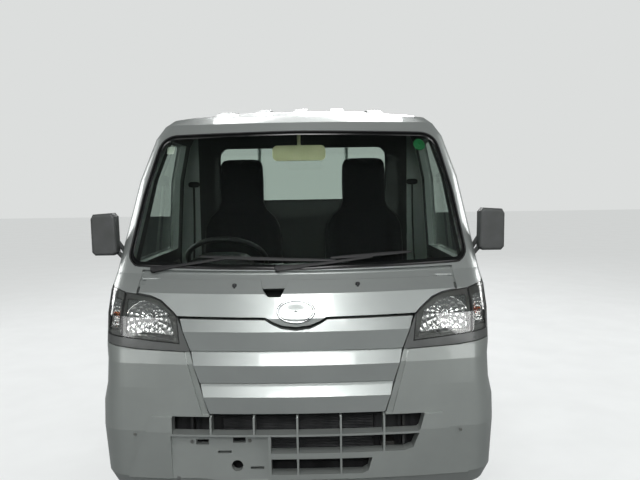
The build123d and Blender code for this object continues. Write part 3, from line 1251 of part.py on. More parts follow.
MIRROR_OUTLINE = [
    (748.0, 1102.0), (762.0, 1088.0), (838.0, 1088.0), (851.0, 1102.0), (852.0, 1240.0),
    (842.0, 1258.0), (764.0, 1263.0), (750.0, 1248.0),
]
with BuildPart() as door_mirror:
    add(front_prism(MIRROR_OUTLINE, at_station(378), at_station(432)))
    fillet(door_mirror.faces().sort_by(Axis.Y)[0].edges(), radius=12)
    add(rod((700, at_station(446), 1026), (764, at_station(414), 1112), 9))
    add(rod((700, at_station(474), 1032), (764, at_station(418), 1160), 9))
    add(outer_form, mode=Mode.SUBTRACT)
    add(cab_form(-SEAT_GAP, 990.0, 1100.0, CAB_BACK_Y), mode=Mode.SUBTRACT)
finish(door_mirror.part, "mirror_left")
finish(mirrored(door_mirror.part), "mirror_right")
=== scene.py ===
"""Looks of the kei truck: finishes, glass, lamps, seats and small fittings around the CAD model.

Shapes are worked out in the truck's own millimetres (x, station, z), where a station is the
distance back from the front of the bumper, and turned to metres when a piece is made: +Z is up,
the truck faces -Y and +X is its left side. Paired fittings are worked out for the left side.
"""

import json
import logging
import math
from collections.abc import Callable
from dataclasses import dataclass, replace
from enum import Enum

import bmesh
import bpy
import numpy as np
from mathutils import Matrix, Vector


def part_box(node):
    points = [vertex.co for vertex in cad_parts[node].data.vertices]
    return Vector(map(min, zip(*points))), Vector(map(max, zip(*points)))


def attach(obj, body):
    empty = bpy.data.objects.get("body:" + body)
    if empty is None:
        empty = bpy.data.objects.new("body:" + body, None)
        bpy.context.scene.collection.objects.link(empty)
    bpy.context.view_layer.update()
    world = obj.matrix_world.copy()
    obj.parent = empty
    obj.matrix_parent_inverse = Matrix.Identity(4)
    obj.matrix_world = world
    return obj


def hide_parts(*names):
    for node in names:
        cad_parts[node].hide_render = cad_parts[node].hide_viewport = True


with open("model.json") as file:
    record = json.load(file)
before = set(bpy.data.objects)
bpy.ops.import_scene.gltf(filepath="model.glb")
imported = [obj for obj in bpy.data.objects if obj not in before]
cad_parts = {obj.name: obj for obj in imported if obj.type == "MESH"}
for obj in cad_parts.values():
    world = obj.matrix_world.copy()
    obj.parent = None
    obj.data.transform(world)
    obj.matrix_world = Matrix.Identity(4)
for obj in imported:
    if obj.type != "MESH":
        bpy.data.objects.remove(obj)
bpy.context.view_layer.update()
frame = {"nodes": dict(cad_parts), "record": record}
NODES = frame["nodes"]
log = logging.getLogger("kei_truck")
logging.basicConfig(level=logging.INFO, format="%(name)s: %(message)s")

Pair = tuple[float, float]
Triple = tuple[float, float, float]
Tree = bpy.types.NodeTree
Socket = bpy.types.NodeSocket

MM = 0.001
PER_METRE = 1000
TAU = 2 * math.pi
LENGTH = 3395.0
FRONT_AXLE = 725.0
REAR_AXLE = 2625.0
AXLE_Z = 268.0
WHEEL_X = 650.0
SIDEWAYS = (1, 0, 0)
AFT = (0, 1, 0)
UP = (0, 0, 1)
# A wave texture's bands lie TAU / 20 apart at scale 1
WAVE_SCALE = PER_METRE / 20 * TAU
COAT_ROUGHNESS = 0.05
LEAST_ROUGHNESS = 0.02
# Edges sharper than this stay sharp in the shading, and points nearer than this are merged
SHARP_DEG = 40
MERGE_M = 1e-6


class Body(str, Enum):
    """The CAD bodies that new pieces ride on."""

    CHASSIS = "chassis"
    HOOD = "hood"
    DOOR_LEFT = "door_left"
    DOOR_RIGHT = "door_right"
    GATE_LEFT = "side_gate_left"
    GATE_RIGHT = "side_gate_right"
    STEERING = "steering_wheel"
    WHEEL_FRONT_LEFT = "wheel_front_left"
    WHEEL_FRONT_RIGHT = "wheel_front_right"
    WHEEL_REAR_LEFT = "wheel_rear_left"
    WHEEL_REAR_RIGHT = "wheel_rear_right"


class Side(Enum):
    """The two sides of the truck, with the sign of X."""

    LEFT = 1
    RIGHT = -1

    @property
    def word(self) -> str:
        """The side's name in lower case."""
        return self.name.lower()

    @property
    def door(self) -> Body:
        """The door on this side."""
        return Body[f"DOOR_{self.name}"]

    @property
    def gate(self) -> Body:
        """The side gate on this side."""
        return Body[f"GATE_{self.name}"]


def linear(colour: str) -> tuple[float, float, float, float]:
    """Turns an sRGB hex value into linear colour with full alpha.

    Args:
        colour: six hex digits after a #.

    Returns:
        Red, green, blue and alpha for a shader socket.
    """
    parts = [int(colour[i : i + 2], 16) / 255 for i in (1, 3, 5)]
    lit = [c / 12.92 if c <= 0.04045 else ((c + 0.055) / 1.055) ** 2.4 for c in parts]
    return (*lit, 1.0)


def node(tree: Tree, kind: str, inputs: dict | None = None, **settings: object) -> bpy.types.Node:
    """Adds one shader node with its settings, input values and links.

    Args:
        tree: the node tree of a material or of the world.
        kind: the node's type, such as ShaderNodeTexNoise.
        inputs: input name or index to its value, or to the output that feeds it.
        settings: the node's own settings; stops are a ramp's (position, hex colour) pairs.

    Returns:
        The new node.
    """
    made = tree.nodes.new(kind)
    stops = settings.pop("stops", ())
    for element, (position, colour) in zip(made.color_ramp.elements if stops else (), stops):
        element.position = position
        element.color = linear(colour)
    for key, value in settings.items():
        setattr(made, key, value)
    for key, value in (inputs or {}).items():
        if isinstance(value, Socket):
            tree.links.new(value, made.inputs[key])
        else:
            made.inputs[key].default_value = value
    return made


@dataclass(frozen=True)
class Finish:
    """A finish of one shader with colour mottling, wandering roughness and a fine grain.

    Args:
        name: the material's name, after the real material.
        colour: base colour as sRGB hex.
        second: colour that the mottling leans towards.
        slot: the record's material slot for new pieces of this finish; not used.
        metallic: how much of the surface is bare metal.
        rough: middle roughness.
        rough_span: how far roughness wanders either way.
        mottle_mm: size of the mottling.
        grain_mm: size of the surface grain.
        grain_depth_mm: height of the grain.
        coat: weight of a clear coat.
        sheen: weight of cloth sheen.
        ior: index of refraction, left at the default for metals.
    """

    name: str
    colour: str
    second: str = ""
    slot: str = "body_paint"
    metallic: float = 0.0
    rough: float = 0.5
    rough_span: float = 0.05
    mottle_mm: float = 60.0
    grain_mm: float = 1.6
    grain_depth_mm: float = 0.1
    coat: float = 0.0
    sheen: float = 0.0
    ior: float = 1.5

    def build(self) -> bpy.types.Material:
        """Makes the material once and finds it again after that.

        Returns:
            The material.
        """
        made = bpy.data.materials.get(self.name)
        if made:
            return made
        made = bpy.data.materials.new(self.name)
        made.use_nodes = True
        made.diffuse_color = linear(self.colour)
        tree = made.node_tree
        tree.nodes.clear()
        place = node(tree, "ShaderNodeTexCoord")
        shader = node(tree, "ShaderNodeBsdfPrincipled", {
            "Metallic": self.metallic, "Coat Weight": self.coat, "Coat Roughness": COAT_ROUGHNESS,
            "Sheen Weight": self.sheen, "IOR": self.ior, **self.inputs(tree, place),
        })
        node(tree, "ShaderNodeOutputMaterial", {"Surface": shader.outputs[0]})
        return made

    def inputs(self, tree: Tree, place: bpy.types.Node) -> dict:
        """Colour, roughness and bump, all driven by object coordinates.

        Args:
            tree: the material's node tree.
            place: the texture coordinate node.

        Returns:
            Input names of the main shader to what feeds them.
        """
        spot = place.outputs["Object"]
        marks = {"Vector": spot, "Scale": PER_METRE / self.mottle_mm, "Detail": 4.0}
        mottle = node(tree, "ShaderNodeTexNoise", marks).outputs["Fac"]
        stops = [(0.35, self.colour), (0.65, self.second or self.colour)]
        rough = node(tree, "ShaderNodeMapRange", {
            "Value": mottle, "From Min": 0.3, "From Max": 0.7,
            "To Min": max(self.rough - self.rough_span, LEAST_ROUGHNESS),
            "To Max": self.rough + self.rough_span,
        })
        return {
            "Base Color": node(tree, "ShaderNodeValToRGB", {"Fac": mottle}, stops=stops).outputs["Color"],
            "Roughness": rough.outputs[0],
            "Normal": self.relief(tree, spot),
        }

    def relief(self, tree: Tree, spot: Socket) -> Socket:
        """The grain's bump.

        Args:
            tree: the material's node tree.
            spot: object coordinates in metres.

        Returns:
            A normal output.
        """
        marks = {"Vector": spot, "Scale": PER_METRE / self.grain_mm, "Detail": 3.0}
        grain = node(tree, "ShaderNodeTexNoise", marks).outputs["Fac"]
        bump = {"Height": grain, "Strength": 1.0, "Distance": self.grain_depth_mm * MM}
        return node(tree, "ShaderNodeBump", bump).outputs[0]


@dataclass(frozen=True)
class MetallicPaint(Finish):
    """Sprayed silver paint: flakes in a clear coat with soft orange peel, and trim darkened with painted
    shade on inner faces.

    The faces of a cab panel that look into the cab wear grained trim instead, in a dark colour that is partly
    painted shade for the inside of the cab. They are told apart by the surface's own direction: inward is the
    way that such a face looks.
    """

    flake_mm: float = 1.6
    flake_depth_mm: float = 0.2
    peel_mm: float = 9.0
    peel_depth_mm: float = 0.12
    inward: Triple | None = None
    # colour of the inner faces' trim, darkened with painted shade for the inside of the cab
    trim: str = "#1d1e1e"
    trim_rough: float = 0.62

    def inputs(self, tree: Tree, place: bpy.types.Node) -> dict:
        """Flakes tilt in the base layer, and the clear coat gets only the orange peel.

        Args:
            tree: the material's node tree.
            place: the texture coordinate node.

        Returns:
            Input names of the main shader to what feeds them.
        """
        spot = place.outputs["Object"]
        marks = {"Vector": spot, "Scale": PER_METRE / self.mottle_mm, "Detail": 5.0}
        dust = node(tree, "ShaderNodeTexNoise", marks).outputs["Fac"]
        stops = [(0.3, self.colour), (0.75, self.second)]
        colour = node(tree, "ShaderNodeValToRGB", {"Fac": dust}, stops=stops).outputs["Color"]
        rough = node(tree, "ShaderNodeMapRange", {
            "Value": dust, "From Min": 0.3, "From Max": 0.7,
            "To Min": self.rough - self.rough_span, "To Max": self.rough + self.rough_span,
        }).outputs[0]
        fed = {"Base Color": colour, "Roughness": rough}
        if self.inward:
            sockets = {0: place.outputs["Normal"], 1: self.inward}
            facing = node(tree, "ShaderNodeVectorMath", sockets, operation="DOT_PRODUCT").outputs["Value"]
            # the inner faces take the trim colour, whose darkness is partly painted shade
            span = {"Value": facing, "From Min": 0.42, "From Max": 0.52}
            inside = node(tree, "ShaderNodeMapRange", span).outputs[0]
            for name, kind, outer, inner in (
                ("Base Color", "RGBA", colour, linear(self.trim)),
                ("Roughness", "FLOAT", rough, self.trim_rough),
                ("Metallic", "FLOAT", self.metallic, 0.0),
            ):
                sockets = {"Factor": inside, "A": outer, "B": inner}
                fed[name] = node(tree, "ShaderNodeMix", sockets, data_type=kind).outputs["Result"]
        flakes = node(tree, "ShaderNodeTexVoronoi", {"Vector": spot, "Scale": PER_METRE / self.flake_mm})
        marks = {"Vector": spot, "Scale": PER_METRE / self.peel_mm, "Detail": 1.0}
        peel = node(tree, "ShaderNodeTexNoise", marks)
        for name, height, strength, depth in (
            ("Normal", flakes.outputs["Distance"], 0.16, self.flake_depth_mm),
            ("Coat Normal", peel.outputs["Fac"], 0.25, self.peel_depth_mm),
        ):
            bump = {"Height": height, "Strength": strength, "Distance": depth * MM}
            fed[name] = node(tree, "ShaderNodeBump", bump).outputs[0]
        return fed


@dataclass(frozen=True)
class ClearGlass(Finish):
    """Float glass or a clear moulded lens: light goes through, and a little dust lies on it."""

    def inputs(self, tree: Tree, place: bpy.types.Node) -> dict:
        """A thin film of dust raises the roughness in patches.

        Args:
            tree: the material's node tree.
            place: the texture coordinate node.

        Returns:
            Input names of the main shader to what feeds them.
        """
        marks = {"Vector": place.outputs["Object"], "Scale": PER_METRE / self.mottle_mm, "Detail": 6.0}
        dust = node(tree, "ShaderNodeTexNoise", marks).outputs["Fac"]
        rough = node(tree, "ShaderNodeMapRange", {
            "Value": dust, "From Min": 0.45, "To Min": self.rough, "To Max": self.rough + self.rough_span,
        })
        return {"Base Color": linear(self.colour), "Transmission Weight": 1.0, "Roughness": rough.outputs[0]}


@dataclass(frozen=True)
class WovenCloth(Finish):
    """Plain woven polyester: warp and weft cross in a fine checker of raised threads."""

    thread_mm: float = 2.4

    def relief(self, tree: Tree, spot: Socket) -> Socket:
        """Two wave patterns at right angles make the threads, drawn about three times coarser.

        Args:
            tree: the material's node tree.
            spot: object coordinates in metres.

        Returns:
            A normal output.
        """
        sockets = {"Vector": spot, "Scale": WAVE_SCALE / self.thread_mm, "Distortion": 0.4}
        warp, weft = (
            node(tree, "ShaderNodeTexWave", sockets, bands_direction=way).outputs["Fac"] for way in "XZ"
        )
        both = node(tree, "ShaderNodeMath", {0: warp, 1: weft}, operation="ADD").outputs[0]
        bump = {"Height": both, "Strength": 0.6, "Distance": self.grain_depth_mm * MM}
        return node(tree, "ShaderNodeBump", bump).outputs[0]


@dataclass(frozen=True)
class FinnedCore(Finish):
    """Radiator core: thin dark fins and tubes, drawn as a louvre pattern coarse enough to show."""

    fin_mm: float = 6.0
    fin_depth_mm: float = 1.5

    def relief(self, tree: Tree, spot: Socket) -> Socket:
        """Level tubes every few millimetres stand out of the fins.

        Args:
            tree: the material's node tree.
            spot: object coordinates in metres.

        Returns:
            A normal output.
        """
        sockets = {"Vector": spot, "Scale": WAVE_SCALE / self.fin_mm}
        tubes = node(tree, "ShaderNodeTexWave", sockets, bands_direction="Z").outputs["Fac"]
        bump = {"Height": tubes, "Strength": 1.0, "Distance": self.fin_depth_mm * MM}
        return node(tree, "ShaderNodeBump", bump).outputs[0]


@dataclass(frozen=True)
class BackdropFloor(Finish):
    """The studio floor: pale to the camera, and no lamp to anything else."""

    glow: float = 0.85
    seen: str = "#dcdedd"

    def inputs(self, tree: Tree, place: bpy.types.Node) -> dict:
        """Camera rays alone see a faint even glow on top of the paint.

        Args:
            tree: the material's node tree.
            place: the texture coordinate node.

        Returns:
            Input names of the main shader to what feeds them.
        """
        camera = node(tree, "ShaderNodeLightPath").outputs["Is Camera Ray"]
        glow = node(tree, "ShaderNodeMapRange", {"Value": camera, "To Max": self.glow}).outputs[0]
        return {**super().inputs(tree, place), "Emission Color": linear(self.seen), "Emission Strength": glow}


@dataclass(frozen=True)
class SpareWheelFinish(Finish):
    """A tyre on its rim in one finish: rubber outside the bead, enamel inside it."""

    bead_mm: float = 160.0
    bead_line_mm: float = 1.0
    axis_at: Triple = (0.0, 1.3625, 0.0)
    rim_rough: float = 0.4
    tyre_rough: float = 0.8

    def inputs(self, tree: Tree, place: bpy.types.Node) -> dict:
        """The distance from the wheel's upright axis tells rubber from enamel.

        Args:
            tree: the material's node tree.
            place: the texture coordinate node.

        Returns:
            Input names of the main shader to what feeds them.
        """
        spot = place.outputs["Object"]
        sockets = {0: spot, 1: self.axis_at}
        apart = node(tree, "ShaderNodeVectorMath", sockets, operation="SUBTRACT").outputs[0]
        sockets = {0: apart, 1: (1.0, 1.0, 0.0)}
        flat = node(tree, "ShaderNodeVectorMath", sockets, operation="MULTIPLY").outputs[0]
        away = node(tree, "ShaderNodeVectorMath", {0: flat}, operation="LENGTH").outputs["Value"]
        rubber = node(tree, "ShaderNodeMapRange", {
            "Value": away, "From Min": (self.bead_mm - self.bead_line_mm) * MM, "From Max": self.bead_mm * MM,
        }).outputs[0]
        rough = node(tree, "ShaderNodeMapRange", {
            "Value": rubber, "To Min": self.rim_rough, "To Max": self.tyre_rough,
        })
        stops = [(0.4, self.second), (0.6, self.colour)]
        return {
            "Base Color": node(tree, "ShaderNodeValToRGB", {"Fac": rubber}, stops=stops).outputs["Color"],
            "Roughness": rough.outputs[0],
            "Normal": self.relief(tree, spot),
        }


# Sprayed metallic paint: the flakes give a soft bright band, the clear coat a sharp highlight
PAINT = MetallicPaint(
    "silver_metallic_paint", "#a3a8a6", "#989d9b",
    metallic=0.55, rough=0.36, rough_span=0.03, mottle_mm=260.0, coat=0.7,
)
# The same paint with grained trim on the faces that look into the cab: flat, and darker inside with painted
# shade for the cab's interior
PAINT_FRONT = replace(PAINT, name="silver_paint_front", inward=(0.0, 1.0, 0.0))
PAINT_ROOF = replace(PAINT, name="silver_paint_roof", inward=(0.0, 0.0, -1.0), trim="#3c3d3b")
PAINT_REAR = replace(PAINT, name="silver_paint_rear", inward=(0.0, -1.0, 0.0), trim="#2b2d2d")
PAINT_LEFT = replace(PAINT, name="silver_paint_left", inward=(-1.0, 0.0, 0.0))
PAINT_RIGHT = replace(PAINT, name="silver_paint_right", inward=(1.0, 0.0, 0.0))
# Polypropylene bumper sprayed in the body colour: a little flatter than the steel beside it
BUMPER_PAINT = MetallicPaint(
    "painted_bumper", "#9da29f", "#949996",
    metallic=0.48, rough=0.4, rough_span=0.04, mottle_mm=180.0, coat=0.55,
)
# Dipped frame enamel: black, slightly dusty
FRAME_ENAMEL = Finish(
    "black_frame_enamel", "#17181a", "#2a2825", "frame_black",
    rough=0.45, rough_span=0.12, mottle_mm=90.0, grain_mm=2.5, grain_depth_mm=0.05,
)
# Float glass with the green tint of its iron
GLASS = ClearGlass("float_glass", "#e8f2ec", slot="glass", rough=0.0, rough_span=0.015, mottle_mm=120.0)
# Injection moulded polycarbonate, clear and slightly scratched
LENS = ClearGlass(
    "clear_polycarbonate", "#f7f8f6", slot="lamp_glass", rough=0.0, rough_span=0.02, mottle_mm=120.0,
    ior=1.585,
)
# The same moulding dyed through: the bulb glows amber behind it
AMBER_LENS = replace(LENS, name="amber_polycarbonate", colour="#e08a28", rough=0.08, rough_span=0.05)
# Moulded acrylic over a dark case: a deep even colour under a sharp highlight
RED_LENS = Finish(
    "red_acrylic_lens", "#a80f12", "#8f0b0e", "tail_lamp_red",
    rough=0.12, rough_span=0.03, mottle_mm=30.0, grain_mm=2.0, grain_depth_mm=0.02, coat=0.6, ior=1.49,
)
AMBER_PANEL = replace(RED_LENS, name="amber_acrylic_lens", colour="#c8641a", second="#b95a14", rough=0.14)
WHITE_PANEL = replace(RED_LENS, name="clear_acrylic_lens", colour="#cfd1cf", second="#c3c5c3")
# Vacuum coated aluminium on moulded plastic: a sharp mirror
REFLECTOR = Finish(
    "aluminised_reflector", "#d9dadb", "#d2d3d4", "lamp_housing",
    metallic=1.0, rough=0.07, rough_span=0.03, mottle_mm=25.0, grain_mm=4.0, grain_depth_mm=0.02,
)
# Decorative chrome plate over ABS: bright, with a faint waviness
CHROME = Finish(
    "chrome_plate", "#c9cbcd", "#bfc1c4", "rim_silver",
    metallic=1.0, rough=0.1, rough_span=0.04, mottle_mm=30.0, grain_mm=5.0, grain_depth_mm=0.01,
)
# Bright zinc on bolts and latches: blotched and half dull
ZINC = Finish(
    "zinc_plated_steel", "#9b9d9c", "#84857f", "rim_silver",
    metallic=0.9, rough=0.38, rough_span=0.1, mottle_mm=12.0, grain_mm=1.5, grain_depth_mm=0.04,
)
# Silvered glass of the mirrors: reflects without a haze
MIRROR = Finish(
    "silvered_mirror_glass", "#dfe3e4", "#dadedf", "rim_silver",
    metallic=1.0, rough=0.02, rough_span=0.01, grain_mm=6.0, grain_depth_mm=0.0,
)
# Grained polypropylene of mirrors, dash and trim: flat black or grey, finely pebbled
BLACK_PLASTIC = Finish(
    "grained_black_polypropylene", "#191a1b", "#222325", "black_plastic",
    rough=0.55, rough_span=0.06, grain_depth_mm=0.12,
)
GREY_PLASTIC = replace(BLACK_PLASTIC, name="grained_grey_polypropylene", colour="#4a4c4c", second="#424443")
# Smooth moulded lamp housing: grey with a soft shine
LAMP_CASE = Finish(
    "moulded_lamp_housing", "#5b5d5c", "#535554", "lamp_housing",
    rough=0.32, grain_mm=3.0, grain_depth_mm=0.03, coat=0.3,
)
# Cream ABS of the cabin mirror's back: pale and half matt
CREAM_PLASTIC = Finish(
    "cream_moulded_abs", "#dad6ac", "#d2cea2", "black_plastic", rough=0.42, mottle_mm=50.0,
    grain_depth_mm=0.08,
)
# Extruded EPDM rubber of seals and blades: black and dull
SEAL = Finish(
    "extruded_epdm_rubber", "#131314", "#1b1b1c", "rubber",
    rough=0.6, rough_span=0.08, mottle_mm=30.0, grain_mm=1.2, grain_depth_mm=0.05,
)
# Black glass enamel fired round the windscreen's edge: as smooth as the glass over it
FRIT = Finish(
    "black_glass_enamel", "#0d0e0e", "#101111", "glass", rough=0.22, grain_mm=3.0, grain_depth_mm=0.01,
)
# Carbon filled tyre rubber: nearly black, browned by dust
TYRE = Finish(
    "tyre_rubber", "#1b1b1c", "#29282a", "tyre", rough=0.78, rough_span=0.08, mottle_mm=40.0, grain_mm=1.4
)
# Moulded rubber of the mud flaps: black with a coarse skin
FLAP = Finish("moulded_flap_rubber", "#191919", "#232221", "rubber", rough=0.7, rough_span=0.08, grain_mm=2.0)
# The spare's rubber and enamel, told apart at its bead
SPARE = SpareWheelFinish(
    "spare_tyre_and_rim", "#1b1b1c", "#a0a2a3", "tyre",
    rough=0.7, rough_span=0.1, mottle_mm=120.0, grain_mm=1.2, grain_depth_mm=0.04,
)
# Pressed steel rims with silver enamel: an even satin
RIM = Finish(
    "silver_rim_enamel", "#a9abac", "#9c9d9e", "rim_silver",
    metallic=0.55, rough=0.38, rough_span=0.06, mottle_mm=50.0, grain_mm=2.2, grain_depth_mm=0.04, coat=0.3,
)
# Sand cast and machined aluminium: grey, grainy and uneven
CAST = Finish(
    "cast_aluminium", "#7b7c7d", "#5f605f", "engine_metal",
    metallic=0.85, rough=0.52, rough_span=0.1, mottle_mm=30.0, grain_mm=1.8, grain_depth_mm=0.2,
)
# Mild steel of the exhaust, browned by heat
EXHAUST_STEEL = Finish(
    "heat_browned_steel", "#6d665e", "#4c4038", "engine_metal", metallic=0.8, rough_span=0.12, mottle_mm=45.0
)
# Aluminium fins of the radiator: dark, with a level line at each tube
CORE = FinnedCore(
    "radiator_core", "#2b2c2d", "#242526", "engine_metal", metallic=0.6, rough_span=0.08, mottle_mm=40.0
)
# Woven polyester of the seats: black with a faint sheen at its edges
CLOTH = WovenCloth(
    "woven_polyester_cloth", "#141517", "#1c1d20", "seat_cloth",
    rough=0.92, rough_span=0.03, mottle_mm=14.0, grain_depth_mm=0.35, sheen=0.15,
)
# Polyester webbing of the belts: tighter threads and a smoother face than the seats'
BELT = WovenCloth(
    "belt_webbing", "#1a1a1b", "#222223", "seat_cloth",
    rough=0.75, mottle_mm=14.0, grain_depth_mm=0.25, thread_mm=1.8,
)
# Printed vinyl of the two blank stickers: flat colour, half matt
PAPER = Finish(
    "blank_vinyl_sticker", "#d9dad2", "#cfd0c8", "glass", mottle_mm=40.0, grain_mm=3.0, grain_depth_mm=0.01
)
GREEN_PAPER = replace(PAPER, name="blank_green_vinyl", colour="#1f7a45", second="#1b6f3e")
# Powder coated spring steel: dark with a soft shine
SPRING_STEEL = Finish(
    "powder_coated_spring", "#2a2c2f", "#232427", "frame_black",
    rough=0.4, rough_span=0.08, mottle_mm=30.0, grain_mm=2.0, grain_depth_mm=0.04,
)
# Pale floor paint, lit up a little for the camera so that it meets the backdrop
PALE_FLOOR = BackdropFloor(
    "pale_painted_floor", "#77797a", "#6f7172",
    rough=0.7, rough_span=0.08, mottle_mm=400.0, grain_mm=3.0, grain_depth_mm=0.05,
)

SLOT_FINISHES = {
    "body_paint": PAINT,
    "frame_black": FRAME_ENAMEL,
    "glass": GLASS,
    "lamp_glass": LENS,
    "lamp_housing": LAMP_CASE,
    "tail_lamp_red": RED_LENS,
    "black_plastic": BLACK_PLASTIC,
    "tyre": TYRE,
    "rubber": FLAP,
    "rim_silver": RIM,
    "engine_metal": CAST,
    "seat_cloth": CLOTH,
}
NODE_FINISHES = {
    "screen_frame": PAINT_FRONT,
    "roof_panel": PAINT_ROOF,
    "cab_rear_wall": PAINT_REAR,
    "cab_side_left": PAINT_LEFT,
    "cab_side_right": PAINT_RIGHT,
    "door_left": PAINT_LEFT,
    "door_right": PAINT_RIGHT,
    "front_bumper": BUMPER_PAINT,
    "cab_floor": GREY_PLASTIC,
    "radiator": CORE,
    "exhaust": EXHAUST_STEEL,
    "spare_wheel": SPARE,
    "cabin_mirror": CREAM_PLASTIC,
    "mirror_left": GREY_PLASTIC,
    "mirror_right": GREY_PLASTIC,
}


def dress_cad_nodes() -> None:
    """Gives every CAD node its own finish, or that of its material slot in the record."""
    for row in frame["record"]["subparts"]:
        carried = NODES[row["node"]]
        finish = NODE_FINISHES.get(row["node"], SLOT_FINISHES[row["material_slot"]])
        carried.data.materials.clear()
        carried.data.materials.append(finish.build())
        log.info("%s is finished in %s", row["node"], finish.name)


@dataclass(frozen=True)
class CabSkin:
    """The cab's outer skin as the CAD has it: level sections joined by straight lines.

    Each row holds a height, the station of the front at the middle, the half width, the radius
    of the bow seen from above and the radius of its corners.
    """

    rows: tuple[tuple[float, ...], ...] = (
        (235, 58, 714, 4000, 110), (300, 26, 731, 4500, 110), (480, 12, 737.5, 5000, 110),
        (570, 16, 737.5, 4500, 110), (636, 20, 724, 4200, 105), (722, 24, 724, 3400, 105),
        (768, 36, 733, 3200, 110), (885, 50, 736, 2600, 110), (970, 78, 735, 2100, 105),
        (1030, 150, 733, 1900, 90), (1400, 447, 708, 2080, 90), (1590, 600, 668, 2160, 95),
        (1650, 650, 634, 2200, 100), (1684, 712, 606, 2000, 105), (1708, 850, 574, 1900, 110),
    )
    least_corner: float = 20.0
    edge_gap: float = 0.01

    def at_heights(self, z: np.ndarray) -> list[np.ndarray]:
        """Front station, half width, bow radius and corner radius at heights.

        Args:
            z: heights.

        Returns:
            Four arrays like z, read off between the rows.
        """
        rows = np.array(self.rows, float)
        return [np.interp(z, rows[:, 0], rows[:, k]) for k in range(1, rows.shape[1])]

    def station(self, x: np.ndarray, z: np.ndarray, inset: float = 0.0) -> np.ndarray:
        """Station of the skin, moved inwards by an inset.

        Middle: front + bow - sqrt(bow^2 - x^2). Beyond the bow's end the round corner takes
        over: corner's centre less sqrt(corner^2 - (|x| - corner's x)^2).

        Args:
            x: distances from the middle.
            z: heights.
            inset: how far inside the skin, negative for outside it.

        Returns:
            Stations in millimetres.
        """
        front, half, bow, corner = self.at_heights(z)
        front, half, bow = front + inset, half - inset, bow - inset
        corner = np.maximum(corner - inset, self.least_corner)
        x = np.minimum(np.abs(x), half - self.edge_gap)
        corner_x = half - corner
        corner_s = front + bow - np.sqrt((bow - corner) ** 2 - corner_x**2)
        middle = front + bow - np.sqrt(bow**2 - x**2)
        turn = corner_s - np.sqrt(np.maximum(corner**2 - (x - corner_x) ** 2, 0))
        return np.where(x < corner_x * bow / (bow - corner), middle, turn)

    def at(self, front_view: np.ndarray, inset: float = 0.0) -> np.ndarray:
        """Lays (x, z) points seen from the front onto the skin.

        Args:
            front_view: (..., 2) points.
            inset: how far inside the skin they lie, negative for outside it.

        Returns:
            (..., 3) points as (x, station, z).
        """
        front_view = np.asarray(front_view, float)
        x, z = front_view[..., 0], front_view[..., 1]
        return xyz(x, self.station(x, z, inset), z)


SKIN = CabSkin()


def xyz(x: np.ndarray, station: np.ndarray, z: np.ndarray) -> np.ndarray:
    """Joins coordinates that broadcast together into points.

    Args:
        x: distances from the middle.
        station: stations.
        z: heights.

    Returns:
        (..., 3) points.
    """
    return np.stack(np.broadcast_arrays(x, station, z), -1).astype(float)


def circle(count: int, power: float = 1.0) -> np.ndarray:
    """Points once round a unit ring: sign(cos a) |cos a|^power, and the same of the sine.

    Args:
        count: how many points.
        power: 1 for a circle, nearer 0 for a square with round corners.

    Returns:
        (count, 2) points.
    """
    a = np.arange(count) * TAU / count
    unit = np.stack([np.cos(a), np.sin(a)], -1)
    return np.sign(unit) * np.abs(unit) ** power


def box(corner: Pair, other: Pair) -> list[Pair]:
    """The four corners of a rectangle from two that face each other.

    Args:
        corner: the lower left corner.
        other: the upper right corner.

    Returns:
        The corners in order.
    """
    return [corner, (other[0], corner[1]), other, (corner[0], other[1])]


def along(points: np.ndarray, count: int, closed: bool = False, smooth: float = 0.0) -> np.ndarray:
    """Points at equal steps along a line of points, with its corners rounded by averaging.

    Args:
        points: (n, k) corner points.
        count: how many points to return.
        closed: whether the line ends where it starts.
        smooth: share of the count over which corners are averaged.

    Returns:
        (count, k) points.
    """
    points = np.asarray(points, float)
    if closed:
        points = np.vstack([points, points[:1]])
    reach = np.concatenate([[0], np.cumsum(np.linalg.norm(np.diff(points, axis=0), axis=1))])
    steps = np.linspace(0, reach[-1], count + 1 if closed else count)
    line = np.stack([np.interp(steps, reach, column) for column in points.T], -1)
    line = line[:-1] if closed else line
    window = int(smooth * count) | 1
    if window == 1:
        return line
    pad = window // 2
    padded = np.pad(line, ((pad, pad), (0, 0)), mode="wrap" if closed else "edge")
    kernel = np.hanning(window + 2)[1:-1]
    kernel /= kernel.sum()
    soft = np.stack([np.convolve(column, kernel, "valid") for column in padded.T], -1)
    if not closed:
        soft[0], soft[-1] = line[0], line[-1]
    return soft


def ring_of(points: list[Pair] | tuple[Pair, ...], count: int = 160, smooth: float = 0.05) -> np.ndarray:
    """A closed outline with its corners rounded, at equal steps.

    Args:
        points: its corners.
        count: how many points to return.
        smooth: share of the count over which corners are averaged.

    Returns:
        (count, 2) points.
    """
    return along(np.array(points), count, closed=True, smooth=smooth)


def shrunk(ring: np.ndarray, amount: float) -> np.ndarray:
    """A closed outline moved inwards along its own normals.

    Args:
        ring: (n, 2) points.
        amount: how far each point moves.

    Returns:
        (n, 2) points.
    """
    ahead = np.roll(ring, -1, 0) - np.roll(ring, 1, 0)
    ahead /= np.linalg.norm(ahead, axis=1, keepdims=True)
    normal = np.stack([-ahead[:, 1], ahead[:, 0]], -1)
    area = np.sum(ring[:, 0] * np.roll(ring[:, 1], -1) - np.roll(ring[:, 0], -1) * ring[:, 1])
    return ring + normal * amount * np.sign(area)


def fan(ring: np.ndarray, shares: np.ndarray, middle: Pair | None = None) -> np.ndarray:
    """A ring drawn in towards its middle: middle + (ring - middle) * share.

    Args:
        ring: (n, 2) points.
        shares: (m,) shares of the way out.
        middle: where share 0 lies, or the mean of the ring.

    Returns:
        (n, m, 2) points.
    """
    centre = ring.mean(0) if middle is None else np.array(middle)
    return centre + (ring - centre)[:, None] * shares[None, :, None]


